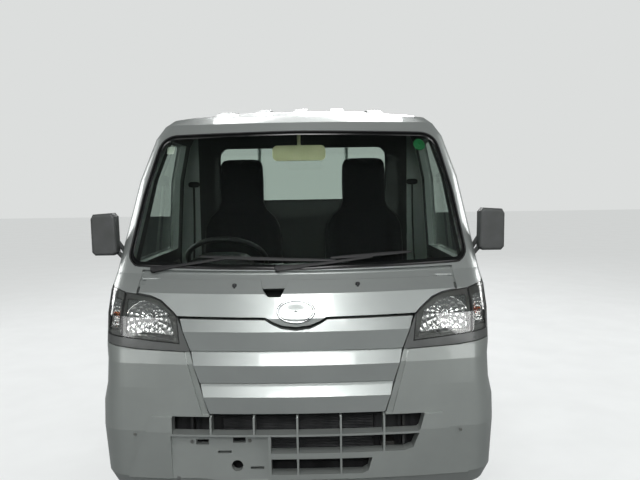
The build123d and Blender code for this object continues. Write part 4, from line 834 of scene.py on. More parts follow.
@dataclass
class Shell:
    """Points and faces of a piece in the truck's millimetres (x, station, z).

    Args:
        points: (n, 3) corner points.
        faces: faces as tuples of point numbers.
    """

    points: np.ndarray
    faces: list[tuple[int, ...]]

    @classmethod
    def grid(cls, points: np.ndarray, wrap_u: bool = False, wrap_v: bool = False,
             cap: bool = False) -> "Shell":
        """A sheet over a (u, v) grid of points, each four neighbours making one face.

        Args:
            points: (nu, nv, 3) grid.
            wrap_u: joins the last row to the first.
            wrap_v: joins the last column to the first.
            cap: closes the first and last row with one face each.

        Returns:
            The sheet.
        """
        number = np.arange(points.shape[0] * points.shape[1]).reshape(points.shape[:2])
        a = number if wrap_u else number[:-1]
        b = np.roll(number, -1, 0) if wrap_u else number[1:]
        if wrap_v:
            a2, b2 = np.roll(a, -1, 1), np.roll(b, -1, 1)
        else:
            a, a2, b, b2 = a[:, :-1], a[:, 1:], b[:, :-1], b[:, 1:]
        quads = np.stack([a, b, b2, a2], -1).reshape(-1, 4)
        faces = [tuple(q) for q in quads.tolist()]
        if cap:
            faces += [tuple(number[0].tolist()), tuple(number[-1][::-1].tolist())]
        return cls(points.reshape(-1, 3).astype(float), faces)

    @classmethod
    def swept(cls, path: np.ndarray, section: np.ndarray, up: Triple = UP, closed: bool = False,
              scale: np.ndarray | None = None) -> "Shell":
        """A section carried along a path, square to it, with its second axis kept near up.

        Args:
            path: (n, 3) points.
            section: (m, 2) closed outline: sideways and up.
            up: the way that the section's second axis leans.
            closed: whether the path is a ring.
            scale: (n, 2) width and height of the section at each path point.

        Returns:
            The closed shell.
        """
        path = np.asarray(path, float)
        ahead = np.roll(path, -1, 0) - np.roll(path, 1, 0) if closed else np.gradient(path, axis=0)
        ahead /= np.linalg.norm(ahead, axis=1, keepdims=True)
        side = np.cross(ahead, np.asarray(up, float))
        side /= np.linalg.norm(side, axis=1, keepdims=True)
        rise = np.cross(side, ahead)
        size = np.ones((len(path), 2)) if scale is None else scale
        flat = np.asarray(section, float) * size[:, None]
        ring = side[:, None] * flat[..., :1] + rise[:, None] * flat[..., 1:]
        return cls.grid(path[:, None] + ring, wrap_u=closed, wrap_v=True, cap=not closed)

    @classmethod
    def tube(cls, path: np.ndarray, radius: float, up: Triple = UP, closed: bool = False,
             sides: int = 12) -> "Shell":
        """A round tube along a path: radius times (cos a, sin a) square to it.

        Args:
            path: (n, 3) points.
            radius: the tube's radius.
            up: a way that the path never runs.
            closed: whether the path is a ring.
            sides: how many faces go round.

        Returns:
            The closed shell.
        """
        return cls.swept(path, radius * circle(sides), up, closed)

    @classmethod
    def turned(cls, profile: tuple[Pair, ...] | np.ndarray, centre: Triple, axis: Triple = SIDEWAYS,
               steps: int = 48, closed: bool = True) -> "Shell":
        """A profile turned once about an axis: centre + along * axis + radius * (cos a u + sin a v).

        Args:
            profile: (distance along the axis, radius) points.
            centre: where the axis starts.
            axis: the way it runs.
            steps: how many faces go round.
            closed: whether the profile's end joins its start.

        Returns:
            The turned shell.
        """
        profile = np.asarray(profile, float)
        way = np.asarray(axis, float) / np.linalg.norm(axis)
        other = np.array([0, 0, 1.0]) if abs(way[2]) < 0.9 else np.array([1.0, 0, 0])
        u = np.cross(way, other)
        u /= np.linalg.norm(u)
        v = np.cross(way, u)
        a = (np.arange(steps) * TAU / steps)[:, None, None]
        round_way = np.cos(a) * u + np.sin(a) * v
        points = np.asarray(centre, float) + profile[None, :, :1] * way + profile[None, :, 1:] * round_way
        return cls.grid(points, wrap_u=True, wrap_v=closed)

    @classmethod
    def pill(cls, centre: Triple, half: Triple, power: float = 4.0, nu: int = 16, nv: int = 24) -> "Shell":
        """A rounded block: |x/a|^p + |y/b|^p + |z/c|^p = 1, from two angles on a grid.

        Args:
            centre: its middle.
            half: its half sizes a, b and c.
            power: 2 for an egg, more for a squarer block.
            nu: rings from pole to pole.
            nv: points in a ring.

        Returns:
            The closed block.
        """
        bend = 2 / power
        pole_gap = 0.02
        u = np.linspace(-math.pi / 2 + pole_gap, math.pi / 2 - pole_gap, nu)[:, None]
        ring = circle(nv, bend)
        wide = np.cos(u) ** bend
        high = np.sign(np.sin(u)) * np.abs(np.sin(u)) ** bend
        unit = xyz(wide * ring[:, 0], wide * ring[:, 1], high)
        return cls.grid(np.asarray(centre) + unit * np.asarray(half), wrap_v=True, cap=True)

    @classmethod
    def joined(cls, shells: list["Shell"]) -> "Shell":
        """Several shells as one, their points and faces in the same order.

        Args:
            shells: at least one shell.

        Returns:
            The joined shell.
        """
        starts = np.cumsum([0] + [len(shell.points) for shell in shells])
        faces = [
            tuple(i + start for i in face)
            for shell, start in zip(shells, starts.tolist())
            for face in shell.faces
        ]
        return cls(np.vstack([shell.points for shell in shells]), faces)

    def mirrored(self) -> "Shell":
        """The same shell on the other side of the truck, still facing outwards."""
        return Shell(self.points * (-1, 1, 1), [face[::-1] for face in self.faces])

    def mesh(self, name: str) -> bpy.types.Mesh:
        """A Blender mesh in metres: doubles merged, faces outwards, smooth but for sharp edges.

        Args:
            name: the mesh's name.

        Returns:
            The new mesh.
        """
        points = self.points * MM
        points[:, 1] -= LENGTH / 2 * MM
        made = bpy.data.meshes.new(name)
        made.from_pydata(points.tolist(), [], self.faces)
        work = bmesh.new()
        work.from_mesh(made)
        bmesh.ops.remove_doubles(work, verts=work.verts, dist=MERGE_M)
        bmesh.ops.recalc_face_normals(work, faces=work.faces)
        work.to_mesh(made)
        work.free()
        made.polygons.foreach_set("use_smooth", np.ones(len(made.polygons), bool))
        made.set_sharp_from_angle(angle=math.radians(SHARP_DEG))
        return made


def add(name: str, finish: Finish, *shells: Shell, body: Body = Body.CHASSIS, side: Side | None = None,
        slot: str = "", thick: float = 0.0, bevel: float = 0.0) -> bpy.types.Object:
    """Makes one piece of some shells, gives it its finish and lets it ride.

    Args:
        name: the piece's name, before the side's.
        finish: what it is made of.
        shells: its parts, where they lie on the left side.
        body: the CAD body that it moves with.
        side: the side that it is for, which ends its name; the right one is mirrored.
        slot: the record's material slot, where it isn't the finish's own; not used.
        thick: wall in millimetres for an open sheet.
        bevel: width of rounded edges in millimetres.

    Returns:
        The new object.
    """
    whole = Shell.joined(list(shells))
    if side:
        name = f"{name}_{side.word}"
        whole = whole if side is Side.LEFT else whole.mirrored()
    mesh = whole.mesh(name)
    mesh.materials.append(finish.build())
    made = bpy.data.objects.new(name, mesh)
    bpy.context.scene.collection.objects.link(made)
    if thick:
        wall = made.modifiers.new("wall", "SOLIDIFY")
        wall.thickness = thick * MM
        wall.offset = 0.0
    if bevel:
        edge = made.modifiers.new("edges", "BEVEL")
        edge.width = bevel * MM
        edge.segments = 2
        edge.limit_method = "ANGLE"
    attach(made, body.value)
    log.info("%s rides on %s, %d faces", name, body.value, len(mesh.polygons))
    return made


@dataclass(frozen=True)
class Windscreen:
    """The fired black border, rubber seal and blank stickers of the windscreen.

    Stickers are x, height and half size.
    """

    outline: tuple[Pair, ...] = (
        (-679, 1087), (-645, 1055), (0, 1046), (645, 1055), (679, 1087), (664, 1330), (632, 1540),
        (618, 1575), (575, 1600), (0, 1607), (-575, 1600), (-618, 1575), (-632, 1540), (-664, 1330),
    )
    border: float = 17.0
    border_inset: float = 3.7
    seal_radius: float = 3.4
    seal_inset: float = 1.6
    sticker_inset: float = 9.6
    square_sticker: Triple = (-572.0, 1530.0, 17.0)
    round_sticker: Triple = (541.0, 1541.0, 27.0)

    def build(self) -> None:
        """Makes the border, the seal and the two stickers inside the glass."""
        ring = ring_of(self.outline, 360, 0.02)
        insets = [1 + share * self.border for share in (0, 0.5, 1)]
        rings = np.stack([SKIN.at(shrunk(ring, inset), self.border_inset) for inset in insets], 1)
        add("screen_border", FRIT, Shell.grid(rings, wrap_u=True), thick=0.3)
        path = SKIN.at(ring, self.seal_inset)
        add("screen_seal", SEAL, Shell.tube(path, self.seal_radius, AFT, closed=True, sides=8))
        self.sticker("square_sticker", self.square_sticker, 8.0, PAPER)
        self.sticker("round_sticker", self.round_sticker, 2.0, GREEN_PAPER)

    def sticker(self, name: str, place: Triple, power: float, finish: Finish) -> None:
        """A flat patch on the inside of the glass: |x|^p + |z|^p = r^p, in rings about its middle.

        Args:
            name: the piece's name.
            place: x, height and half size.
            power: 2 for a disc, more for a square.
            finish: the sticker's finish.
        """
        way = circle(40)
        reach = np.sum(np.abs(way) ** power, 1, keepdims=True) ** (-1 / power)
        middle = np.array(place[:2])
        flat = fan(middle + place[2] * reach * way, np.linspace(0.02, 1, 5), middle)
        add(name, finish, Shell.grid(SKIN.at(flat, self.sticker_inset), wrap_u=True), thick=0.2)


@dataclass(frozen=True)
class Wiper:
    """One wiper: a domed pivot, a tapered pressed arm, and a blade with its spine and lip.

    The arm starts at the pivot; its points and the blade's ends are (x, z) as seen from the
    front. Heights off the skin are for the arm, the blade's spine and its lip.
    """

    name: str
    arm: tuple[Pair, ...]
    blade: tuple[Pair, Pair]
    out: Triple = (0.0, -0.78, 0.63)
    heights: Triple = (4.6, 6.2, 2.4)
    cap: tuple[Pair, ...] = ((-8.6, 0.1), (-8.4, 5), (-6.4, 10.5), (0, 12.4), (9, 12.4))
    lip: Pair = (1.6, 2.0)
    arm_steps: int = 40
    blade_steps: int = 30

    def build(self) -> bpy.types.Object:
        """Makes arm, pivot and blade in one piece.

        The arm's width falls from its foot as (1 - t / 0.3)^0.7 and then slowly to its end, and
        the spine's width follows the square root of sin(pi t).

        Returns:
            The piece.
        """
        t = np.linspace(0, 1, self.arm_steps)
        width = 7.6 + 5.5 * np.clip(1 - t / 0.3, 0, 1) ** 0.7 - 1.6 * t
        height = 3.7 + 0.5 * np.cos(TAU * t * 1.5) * (t < 0.34)
        bow = np.sin(np.linspace(0, math.pi, self.blade_steps))
        blade = along(self.blade, self.blade_steps)
        parts = [
            Shell.swept(SKIN.at(line, -off), circle(12, 0.6), self.out, scale=scale)
            for line, off, scale in zip(
                (along(self.arm, self.arm_steps, smooth=0.12), blade, blade),
                self.heights,
                (
                    np.stack([width, height], -1),
                    np.stack([3.6 + 4.4 * bow**0.5, 1.7 + 0.9 * bow], -1),
                    np.full((self.blade_steps, 2), self.lip),
                ),
            )
        ]
        back = tuple(-c for c in self.out)
        cap = Shell.turned(self.cap, SKIN.at(self.arm[0]), back, steps=28, closed=False)
        return add(f"wiper_{self.name}", SEAL, parts[0], cap, *parts[1:], slot="frame_black")


@dataclass(frozen=True)
class Nose:
    """Small fittings of the nose: plain oval badge, washer nozzles, bolts, and air guides that are also dark
    sheets of painted shade in the bumper's openings.

    Bolts are x, height and radius; screws are x, height, height off the skin and radius; air
    guides are a name, an x range and a height range.
    """

    badge_at: Pair = (0.0, 909.0)
    badge_half: Pair = (66.0, 38.0)
    badge_ring: float = 4.6
    nozzles: tuple[tuple[str, float], ...] = (("right", -228.0), ("left", 228.0))
    nozzle_z: float = 997.0
    bolts: tuple[Triple, ...] = ((-386.0, 438.0, 5.5), (-176.0, 438.0, 5.5))
    bolt_station: float = 41.5
    screws: tuple[tuple[float, ...], ...] = (
        (-438.0, 302.0, 6.0, 4.5), (-592.0, 470.0, 11.0, 4.0), (592.0, 470.0, 11.0, 4.0),
    )
    guides: tuple[tuple[str, Pair, Pair], ...] = (
        ("left", (284.0, 560.0), (336.0, 640.0)),
        ("right", (-560.0, -284.0), (336.0, 640.0)),
        ("low", (-430.0, 430.0), (262.0, 334.0)),
    )
    guide_station: float = 118.0
    guide_rib: float = 3.0
    guide_pitch: float = 46.0

    def build(self) -> None:
        """Makes all the nose's fittings."""
        self.badge()
        for word, x in self.nozzles:
            foot = SKIN.at((x, self.nozzle_z), -2.5)
            jet = Shell.pill(foot + (0, -2, 1), (8.5, 6.5, 7.0), 2.6)
            tip = Shell.pill(foot + (0, -6, -5), (4.0, 4.0, 6.0), 2.4)
            add(f"washer_nozzle_{word}", BLACK_PLASTIC, jet, tip, body=Body.HOOD)
        bolts = [self.head((x, self.bolt_station, z), radius) for x, z, radius in self.bolts]
        add("plate_bolts", ZINC, *bolts)
        screws = [self.head(SKIN.at((x, z), -off), radius) for x, z, off, radius in self.screws]
        add("bumper_screws", ZINC, *screws)
        # black sheets behind the openings: painted shade where the floor would otherwise show through
        for word, wide, high in self.guides:
            self.air_guide(f"air_guide_{word}", wide, high)

    def badge(self) -> None:
        """A chromed oval ring round a shallow dish: depth = 3.6 - 2.6 cos^2 of the way out."""
        oval = self.badge_at + circle(72) * self.badge_half
        ring = Shell.tube(SKIN.at(oval, -2.2), self.badge_ring, AFT, closed=True)
        add("badge_ring", CHROME, ring, body=Body.HOOD)
        shares = np.linspace(0.02, 1.0, 12)
        dish = SKIN.at(fan(oval, shares, self.badge_at))
        dish[..., 1] -= 3.6 - 2.6 * np.cos(np.clip(shares * 1.15, 0, 1) * math.pi / 2) ** 2
        add("badge_plate", PAINT, Shell.grid(dish, wrap_u=True), body=Body.HOOD, thick=1.0)

    def air_guide(self, name: str, wide: Pair, high: Pair) -> None:
        """A ribbed black sheet that leads air to the radiator and stands in for the shade inside an opening
        (painted shade): station + rib |cos(pi x / pitch)|^6.

        Args:
            name: the piece's name.
            wide: its x range.
            high: its height range.
        """
        x = np.linspace(*wide, 90)[:, None]
        z = np.linspace(*high, 30)[None]
        ribs = np.abs(np.cos((x - wide[0]) / self.guide_pitch * math.pi)) ** 6
        sheet = xyz(x, self.guide_station + self.guide_rib * ribs, z)
        add(name, BLACK_PLASTIC, Shell.grid(sheet), thick=2.0)

    @staticmethod
    def head(place: Triple, radius: float) -> Shell:
        """A low domed bolt head with a flange and a sunk socket, its axis along the truck.

        Args:
            place: where its seat's middle lies.
            radius: the head's radius.

        Returns:
            The head.
        """
        profile = [
            (0.0, 0.1), (-2.2, 0.1), (-2.2, radius * 0.45), (-4.4, radius * 0.5), (-4.0, radius * 0.85),
            (-1.6, radius), (-1.4, radius * 1.45), (0.8, radius * 1.5),
        ]
        return Shell.turned(profile, place, AFT, steps=20)


@dataclass(frozen=True)
class Headlamp:
    """Inside of one headlamp: fluted beam reflector, bulb with its shield, and the amber corner."""

    side: Side
    beam: tuple[Pair, ...] = ((449, 814), (634, 824), (638, 943), (560, 938), (514, 923), (473, 897))
    corner: tuple[Pair, ...] = ((666, 834), (710, 838), (710, 948), (666, 940))
    beam_centre: Pair = (556.0, 874.0)
    corner_centre: Pair = (689.0, 886.0)
    facet_mm: float = 2.6
    rim_depth: float = 12.0
    lens_room: float = 8.0
    bulb: tuple[Pair, ...] = ((0, 0.1), (1.5, 4), (6, 6.2), (24, 6.2), (26, 8), (34, 8.5))
    shield: tuple[Pair, ...] = (
        (0, 0.1), (0.6, 7), (4, 11.5), (12, 13), (12.6, 12), (5, 10.5), (2, 6.5), (1.4, 0.1),
    )
    amber: tuple[Pair, ...] = ((0, 0.1), (1.5, 5), (6, 8.5), (14, 9), (20, 6.5), (26, 6))
    lens: tuple[Pair, ...] = (
        (438, 889), (455, 905), (505, 943), (545, 957), (600, 965), (648, 969), (716, 986), (716, 817),
        (586, 805), (426, 792),
    )
    divider: tuple[Pair, ...] = ((646, 812), (650, 880), (648, 964))
    divider_width: float = 9.0

    def bowl(self, outline: tuple[Pair, ...], centre: Pair, deep: float, reach: float,
             facets: tuple[int, int]) -> Shell:
        """A dish of pillow facets, cut off by its outline.

        Depth = deep - rise (r / reach)^2, less a pillow on each facet: facet size times
        |sin(sectors a)| |sin(rings pi r / reach)|, where r and a are measured from the centre.

        Args:
            outline: corners of the rim as (x, z).
            centre: middle of the dish.
            deep: inset from the skin's station at the middle.
            reach: distance from the middle at which the dish meets the bezel.
            facets: half the number of facets round the dish, and how many lie on the way out.

        Returns:
            The open dish.
        """
        flat = fan(ring_of(outline, 288, 0.03), np.linspace(0.08, 1.0, 56), centre)
        x, z = flat[..., 0], flat[..., 1]
        a = np.arctan2(z - centre[1], x - centre[0])
        share = np.clip(np.linalg.norm(flat - centre, axis=-1) / reach, 0, 1)
        sectors, rings = facets
        pillow = np.abs(np.sin(sectors * a)) * np.abs(np.sin(rings * math.pi * share)) * share**0.5
        depth = deep - (deep - self.rim_depth) * share**2 - self.facet_mm * pillow
        skin, face = SKIN.station(x, z), SKIN.station(*centre)
        station = np.maximum(face + 0.35 * (skin - face) + depth, skin + self.lens_room)
        return Shell.grid(xyz(x, station, z), wrap_u=True)

    def build(self) -> None:
        """Makes both reflectors, their bulbs, the shield, the lens edge and the divider."""
        for name, outline, centre, deep, reach, facets in (
            ("beam_reflector", self.beam, self.beam_centre, 44.0, 112.0, (9, 6)),
            ("corner_reflector", self.corner, self.corner_centre, 36.0, 70.0, (7, 5)),
        ):
            bowl = self.bowl(outline, centre, deep, reach, facets)
            add(name, REFLECTOR, bowl, side=self.side, thick=0.8)
        for name, finish, slot, (x, z), deep, profile, steps, thick in (
            ("bulb", LENS, "lamp_glass", self.beam_centre, 17.0, self.bulb, 24, 0.4),
            ("bulb_shield", CHROME, "lamp_housing", self.beam_centre, 10.5, self.shield, 28, 0.0),
            ("corner_bulb", AMBER_LENS, "lamp_glass", self.corner_centre, 13.0, self.amber, 24, 0.4),
        ):
            place = (x, float(SKIN.station(x, z)) + deep, z)
            shell = Shell.turned(profile, place, AFT, steps, closed=False)
            add(name, finish, shell, side=self.side, slot=slot, thick=thick)
        path = SKIN.at(shrunk(ring_of(self.lens, 160, 0.02), 2.2), -0.2)
        add("lens_edge", SEAL, Shell.tube(path, 1.5, AFT, closed=True, sides=6), side=self.side)
        line = along(self.divider, 30)
        band = np.stack([line, line + (self.divider_width, 0)], 1)
        add("lamp_divider", SEAL, Shell.grid(SKIN.at(band, 4.15)), side=self.side, thick=0.12)


@dataclass(frozen=True)
class Tyre:
    """A 145 mm tyre with four grooves round it, shoulder blocks and rim guards, no lettering.

    The half profile is (distance from the middle, radius) from the bead to the tread's middle.
    """

    end: str
    axle: float
    side: Side
    blocks: int = 52
    steps_per_block: int = 6
    half_profile: tuple[Pair, ...] = (
        (46, 158.2), (52, 158.4), (54.5, 166), (61, 172), (67, 184), (70.6, 198), (72.2, 212), (71.8, 226),
        (69.6, 240), (66, 250), (61, 257.5), (54, 262.5), (45, 265.4), (30, 267.2), (14, 267.9), (0, 268),
    )
    grooves: tuple[float, ...] = (-33, -11, 11, 33)
    groove_half_width: float = 4.0
    groove_depth: float = 6.5
    cut_depth: float = 5.0
    guard_ribs: tuple[Triple, ...] = ((224, 2.4, 0.7), (176, 3.0, 0.9))

    def build(self) -> None:
        """Makes the tyre, which stands for the CAD one.

        Radius = profile less the grooves' depth where |x - groove| is small and the cuts' depth
        where sin-like phase blocks x a + slant x is near pi, on the shoulders and less so inside.
        """
        half = np.array(self.half_profile)
        x, r = along(np.vstack([half, half[-2::-1] * (-1, 1)]), 132, smooth=0.02).T
        steps = self.blocks * self.steps_per_block
        a = np.arange(steps)[:, None] * TAU / steps
        tread = np.clip((r - 258) / 5, 0, 1)
        grooves = sum(np.clip(1.5 - np.abs(x - at) / self.groove_half_width, 0, 1) for at in self.grooves)
        phase = (a * self.blocks + 0.035 * x) % TAU
        cuts = np.clip(1.7 - np.abs(phase - math.pi) / 0.42, 0, 1)
        shoulder = np.clip((np.abs(x) - 37) / 2, 0, 1) * np.clip((70 - np.abs(x)) / 4, 0, 1)
        shoulder = shoulder * np.clip((r - 244) / 5, 0, 1)
        inner = np.clip((30 - np.abs(x)) / 3, 0, 1) * 0.45
        depth = self.groove_depth * tread * np.clip(grooves, 0, 1)
        depth = depth + self.cut_depth * cuts * (shoulder + inner)
        ribs = sum(high * (np.abs(r - at) < half_width) for at, half_width, high in self.guard_ribs)
        radius = r - depth
        points = xyz(
            self.side.value * WHEEL_X + (x + np.sign(x) * ribs), self.axle + radius * np.cos(a),
            AXLE_Z + radius * np.sin(a),
        )
        name = f"tyre_{self.end}_{self.side.word}"
        wheel = Body[f"WHEEL_{self.end.upper()}_{self.side.name}"]
        made = add(f"treaded_{name}", TYRE, Shell.grid(points, wrap_u=True, wrap_v=True), body=wheel)
        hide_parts(name)


@dataclass(frozen=True)
class SteeringWheel:
    """A three-spoke wheel in grained plastic with a crowned horn pad."""

    centre: Triple = (-335.0, 665.0, 1030.0)
    radius: float = 178.0
    rim_half: Pair = (12.5, 11.5)
    tilt: Pair = (0.8, 0.6)
    spokes: Triple = (200.0, -20.0, -90.0)
    spoke_start: float = 40.0
    spoke_steps: int = 18
    hub: tuple[Pair, ...] = ((-34, 0.1), (-34, 26), (-12, 38), (-8, 0.1))

    def tilted(self, shell: Shell) -> Shell:
        """Turns a shell made flat (sideways, up the wheel, towards the driver) into its place.

        Args:
            shell: the flat shell.

        Returns:
            The shell on the column.
        """
        u, v, w = shell.points.T
        cos, sin = self.tilt
        x, s, z = self.centre
        return Shell(xyz(x + u, s - cos * v + sin * w, z + sin * v + cos * w), shell.faces)

    def build(self) -> None:
        """Makes rim, spokes and pad as one piece, which stands for the CAD wheel."""
        rim = circle(16) * self.rim_half + (0, self.radius)
        parts = [Shell.turned(rim, (0, 0, 0), UP, steps=96)]
        t = np.linspace(0, 1, self.spoke_steps)
        scale = np.stack([22 - 9 * np.sin(t * math.pi), np.full(self.spoke_steps, 5.5)], -1)
        for angle in np.radians(self.spokes):
            way = np.array([math.cos(angle), math.sin(angle), 0])
            path = way * (self.spoke_start + (self.radius - 44) * t)[:, None]
            path = path + np.array([0, 0, -14.0]) * (1 - t)[:, None] ** 2
            parts.append(Shell.swept(path, circle(16, 0.7), UP, scale=scale))
        parts.append(Shell.pill((0, -6, -9), (72, 56, 16), 3.0, 20, 36))
        parts.append(Shell.turned(self.hub, (0, 0, 0), UP, steps=32))
        whole = self.tilted(Shell.joined(parts))
        made = add("steering_wheel_rim", BLACK_PLASTIC, whole, body=Body.STEERING)
        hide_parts("steering_wheel")


@dataclass(frozen=True)
class Seats:
    """Both seats: a puffed cushion and a back that ends in its own head part, in sewn cloth.

    Rows are (height, half width, middle station, half depth) of each level ring. The puffed
    mesh is kept inside the CAD seat's box.
    """

    middle: float = 335.0
    pressure: float = 4.0
    frames: int = 20
    cap_mm: float = 16.0
    voxel_mm: float = 8.0
    box_room_mm: float = 0.5
    seam_levels: int = 4
    fill: float = 0.8
    cushion: tuple[tuple[float, ...], ...] = (
        (703, 205, 1050, 186), (712, 219, 1052, 205), (746, 222, 1056, 212), (770, 220, 1056, 210),
        (782, 208, 1054, 196), (786, 150, 1050, 140),
    )
    back: tuple[tuple[float, ...], ...] = (
        (792, 200, 1234, 40), (806, 213, 1237, 47), (900, 216, 1242, 48), (1050, 214, 1248, 42),
        (1150, 205, 1250, 37), (1205, 176, 1250, 34), (1245, 132, 1250, 33), (1290, 117, 1250, 33),
        (1400, 119, 1251, 31), (1490, 115, 1252, 27), (1512, 100, 1252, 20), (1516, 60, 1252, 12),
    )

    def block(self, rows: tuple[tuple[float, ...], ...], power: float) -> Shell:
        """Rounded rings |u/a|^p + |v/b|^p = 1 stacked by rows.

        Args:
            rows: (height, half width, middle station, half depth) of each ring.
            power: how square the rings are.

        Returns:
            The closed block round x = middle.
        """
        t = np.linspace(0, len(rows) - 1, len(rows) * 5)
        columns = np.array(rows, float).T
        z, a, s, b = (np.interp(t, np.arange(len(rows)), column)[:, None] for column in columns)
        cos, sin = circle(72, 2 / power).T
        return Shell.grid(xyz(self.middle + a * cos, s + b * sin, z), wrap_v=True, cap=True)

    def puffed(self, made: bpy.types.Object, seams: Callable[[np.ndarray], np.ndarray]) -> None:
        """Remeshes a block evenly and blows it up as cloth whose seams are held.

        Args:
            made: the block, whose mesh is replaced by the settled one.
            seams: from points in truck millimetres to how firmly each is held, 0 to 1.
        """
        even = made.modifiers.new("even", "REMESH")
        even.mode = "VOXEL"
        even.voxel_size = self.voxel_mm * MM
        mesh = bpy.data.meshes.new_from_object(made.evaluated_get(bpy.context.evaluated_depsgraph_get()))
        made.modifiers.clear()
        made.data = mesh
        rest = self.places(mesh)
        move = self.settle(made, seams(rest / MM + (0, LENGTH / 2, 0))) - rest
        reach = np.linalg.norm(move, axis=1, keepdims=True)
        rest = rest + move * np.minimum(1, self.cap_mm * MM / np.maximum(reach, 1e-9))
        low, high = (np.array(c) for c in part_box("passenger_seat"))
        rest = np.clip(rest, low + self.box_room_mm * MM, high - self.box_room_mm * MM)
        mesh.vertices.foreach_set("co", rest.ravel())
        mesh.polygons.foreach_set("use_smooth", np.full(len(mesh.polygons), True))
        mesh.update()
        self.rounded(made)

    def settle(self, made: bpy.types.Object, held: np.ndarray) -> np.ndarray:
        """Runs the cloth under pressure and takes its modifier off again.

        Args:
            made: the evenly meshed block.
            held: how firmly each point is held, 0 to 1, in steps of a quarter.

        Returns:
            (n, 3) settled places in metres.
        """
        scene = bpy.context.scene
        group = made.vertex_groups.new(name="seams")
        for level in np.linspace(1 / self.seam_levels, 1, self.seam_levels):
            chosen = np.flatnonzero(np.round(held * self.seam_levels) / self.seam_levels == level)
            group.add(chosen.tolist(), float(level), "REPLACE")
        cloth = made.modifiers.new("cloth", "CLOTH")
        cloth.settings.use_pressure = True
        cloth.settings.uniform_pressure_force = self.pressure
        cloth.settings.vertex_group_mass = "seams"
        cloth.settings.effector_weights.gravity = 0.0
        cloth.settings.quality = 4
        for number in range(1, self.frames + 1):
            scene.frame_set(number)
        settled = self.places(made.evaluated_get(bpy.context.evaluated_depsgraph_get()).to_mesh())
        made.modifiers.clear()
        made.vertex_groups.clear()
        scene.frame_set(1)
        return settled

    @staticmethod
    def places(mesh: bpy.types.Mesh) -> np.ndarray:
        """A mesh's points as an array.

        Args:
            mesh: the mesh.

        Returns:
            (n, 3) places in metres.
        """
        flat = np.zeros(len(mesh.vertices) * 3)
        mesh.vertices.foreach_get("co", flat)
        return flat.reshape(-1, 3)

    @staticmethod
    def rounded(made: bpy.types.Object) -> None:
        """Adds one level of subdivision to a piece.

        Args:
            made: the piece.
        """
        soft = made.modifiers.new("rounding", "SUBSURF")
        soft.levels = soft.render_levels = 1

    @staticmethod
    def near(distance: np.ndarray, width: float) -> np.ndarray:
        """How near a seam is: 1 within half a width, falling to 0 at one and a half.

        Args:
            distance: how far each point lies from the seam.
            width: the seam's width.

        Returns:
            0 to 1 for each point.
        """
        return np.clip(1.5 - np.abs(distance) / width, 0, 1)

    def cushion_seams(self, p: np.ndarray) -> np.ndarray:
        """Two seams along the cushion and two across on its top, the piping, and its held base.

        Args:
            p: (n, 3) points in truck millimetres.

        Returns:
            How firmly each is held, 0 to 1.
        """
        x, s, z = p[:, 0] - self.middle, p[:, 1], p[:, 2]
        side = self.near(np.abs(x) - 132, 7) * (z > 765)
        cross = self.near(np.abs(s - 1030) - 80, 7) * (z > 765) * (np.abs(x) < 132)
        return np.clip(side + cross + (z < 745) + self.near(z - 770, 6), 0, 1)

    def back_seams(self, p: np.ndarray) -> np.ndarray:
        """Two seams up the back's front, one every 120 mm between them, and one under the head.

        Args:
            p: (n, 3) points in truck millimetres.

        Returns:
            How firmly each is held, 0 to 1.
        """
        x, s, z = p[:, 0] - self.middle, p[:, 1], p[:, 2]
        side = self.near(np.abs(x) - 130, 7) * (z < 1170)
        cross = self.near((z - 860) % 120 - 60, 6) * (np.abs(x) < 130) * (z < 1170)
        head = self.near(z - 1215, 8)
        return np.clip((side + cross + head) * (s < 1240) + (s > 1262), 0, 1)

    def build(self) -> None:
        """Makes the left seat and mirrors its settled meshes to the right."""
        cushion = add("seat_cushion_left", CLOTH, self.block(self.cushion, 6.0))
        back = add("seat_back_left", CLOTH, self.block(self.back, 5.0))
        for left, seams, nodes in (
            (cushion, self.cushion_seams, ("passenger_seat", "driver_seat")),
            (back, self.back_seams, ()),
        ):
            self.puffed(left, seams)
            right = self.twin(left)
            for made, stood_for in zip((left, right), nodes):
                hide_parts(stood_for)

    def twin(self, left: bpy.types.Object) -> bpy.types.Object:
        """The same settled piece on the other side of the truck.

        Args:
            left: the settled piece.

        Returns:
            Its mirror.
        """
        mesh = left.data.copy()
        mesh.transform(Matrix.Diagonal((-1, 1, 1, 1)))
        mesh.flip_normals()
        made = bpy.data.objects.new(left.name.replace("left", "right"), mesh)
        bpy.context.scene.collection.objects.link(made)
        self.rounded(made)
        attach(made, Body.CHASSIS.value)
        log.info("%s is the mirror of %s", made.name, left.name)
        return made


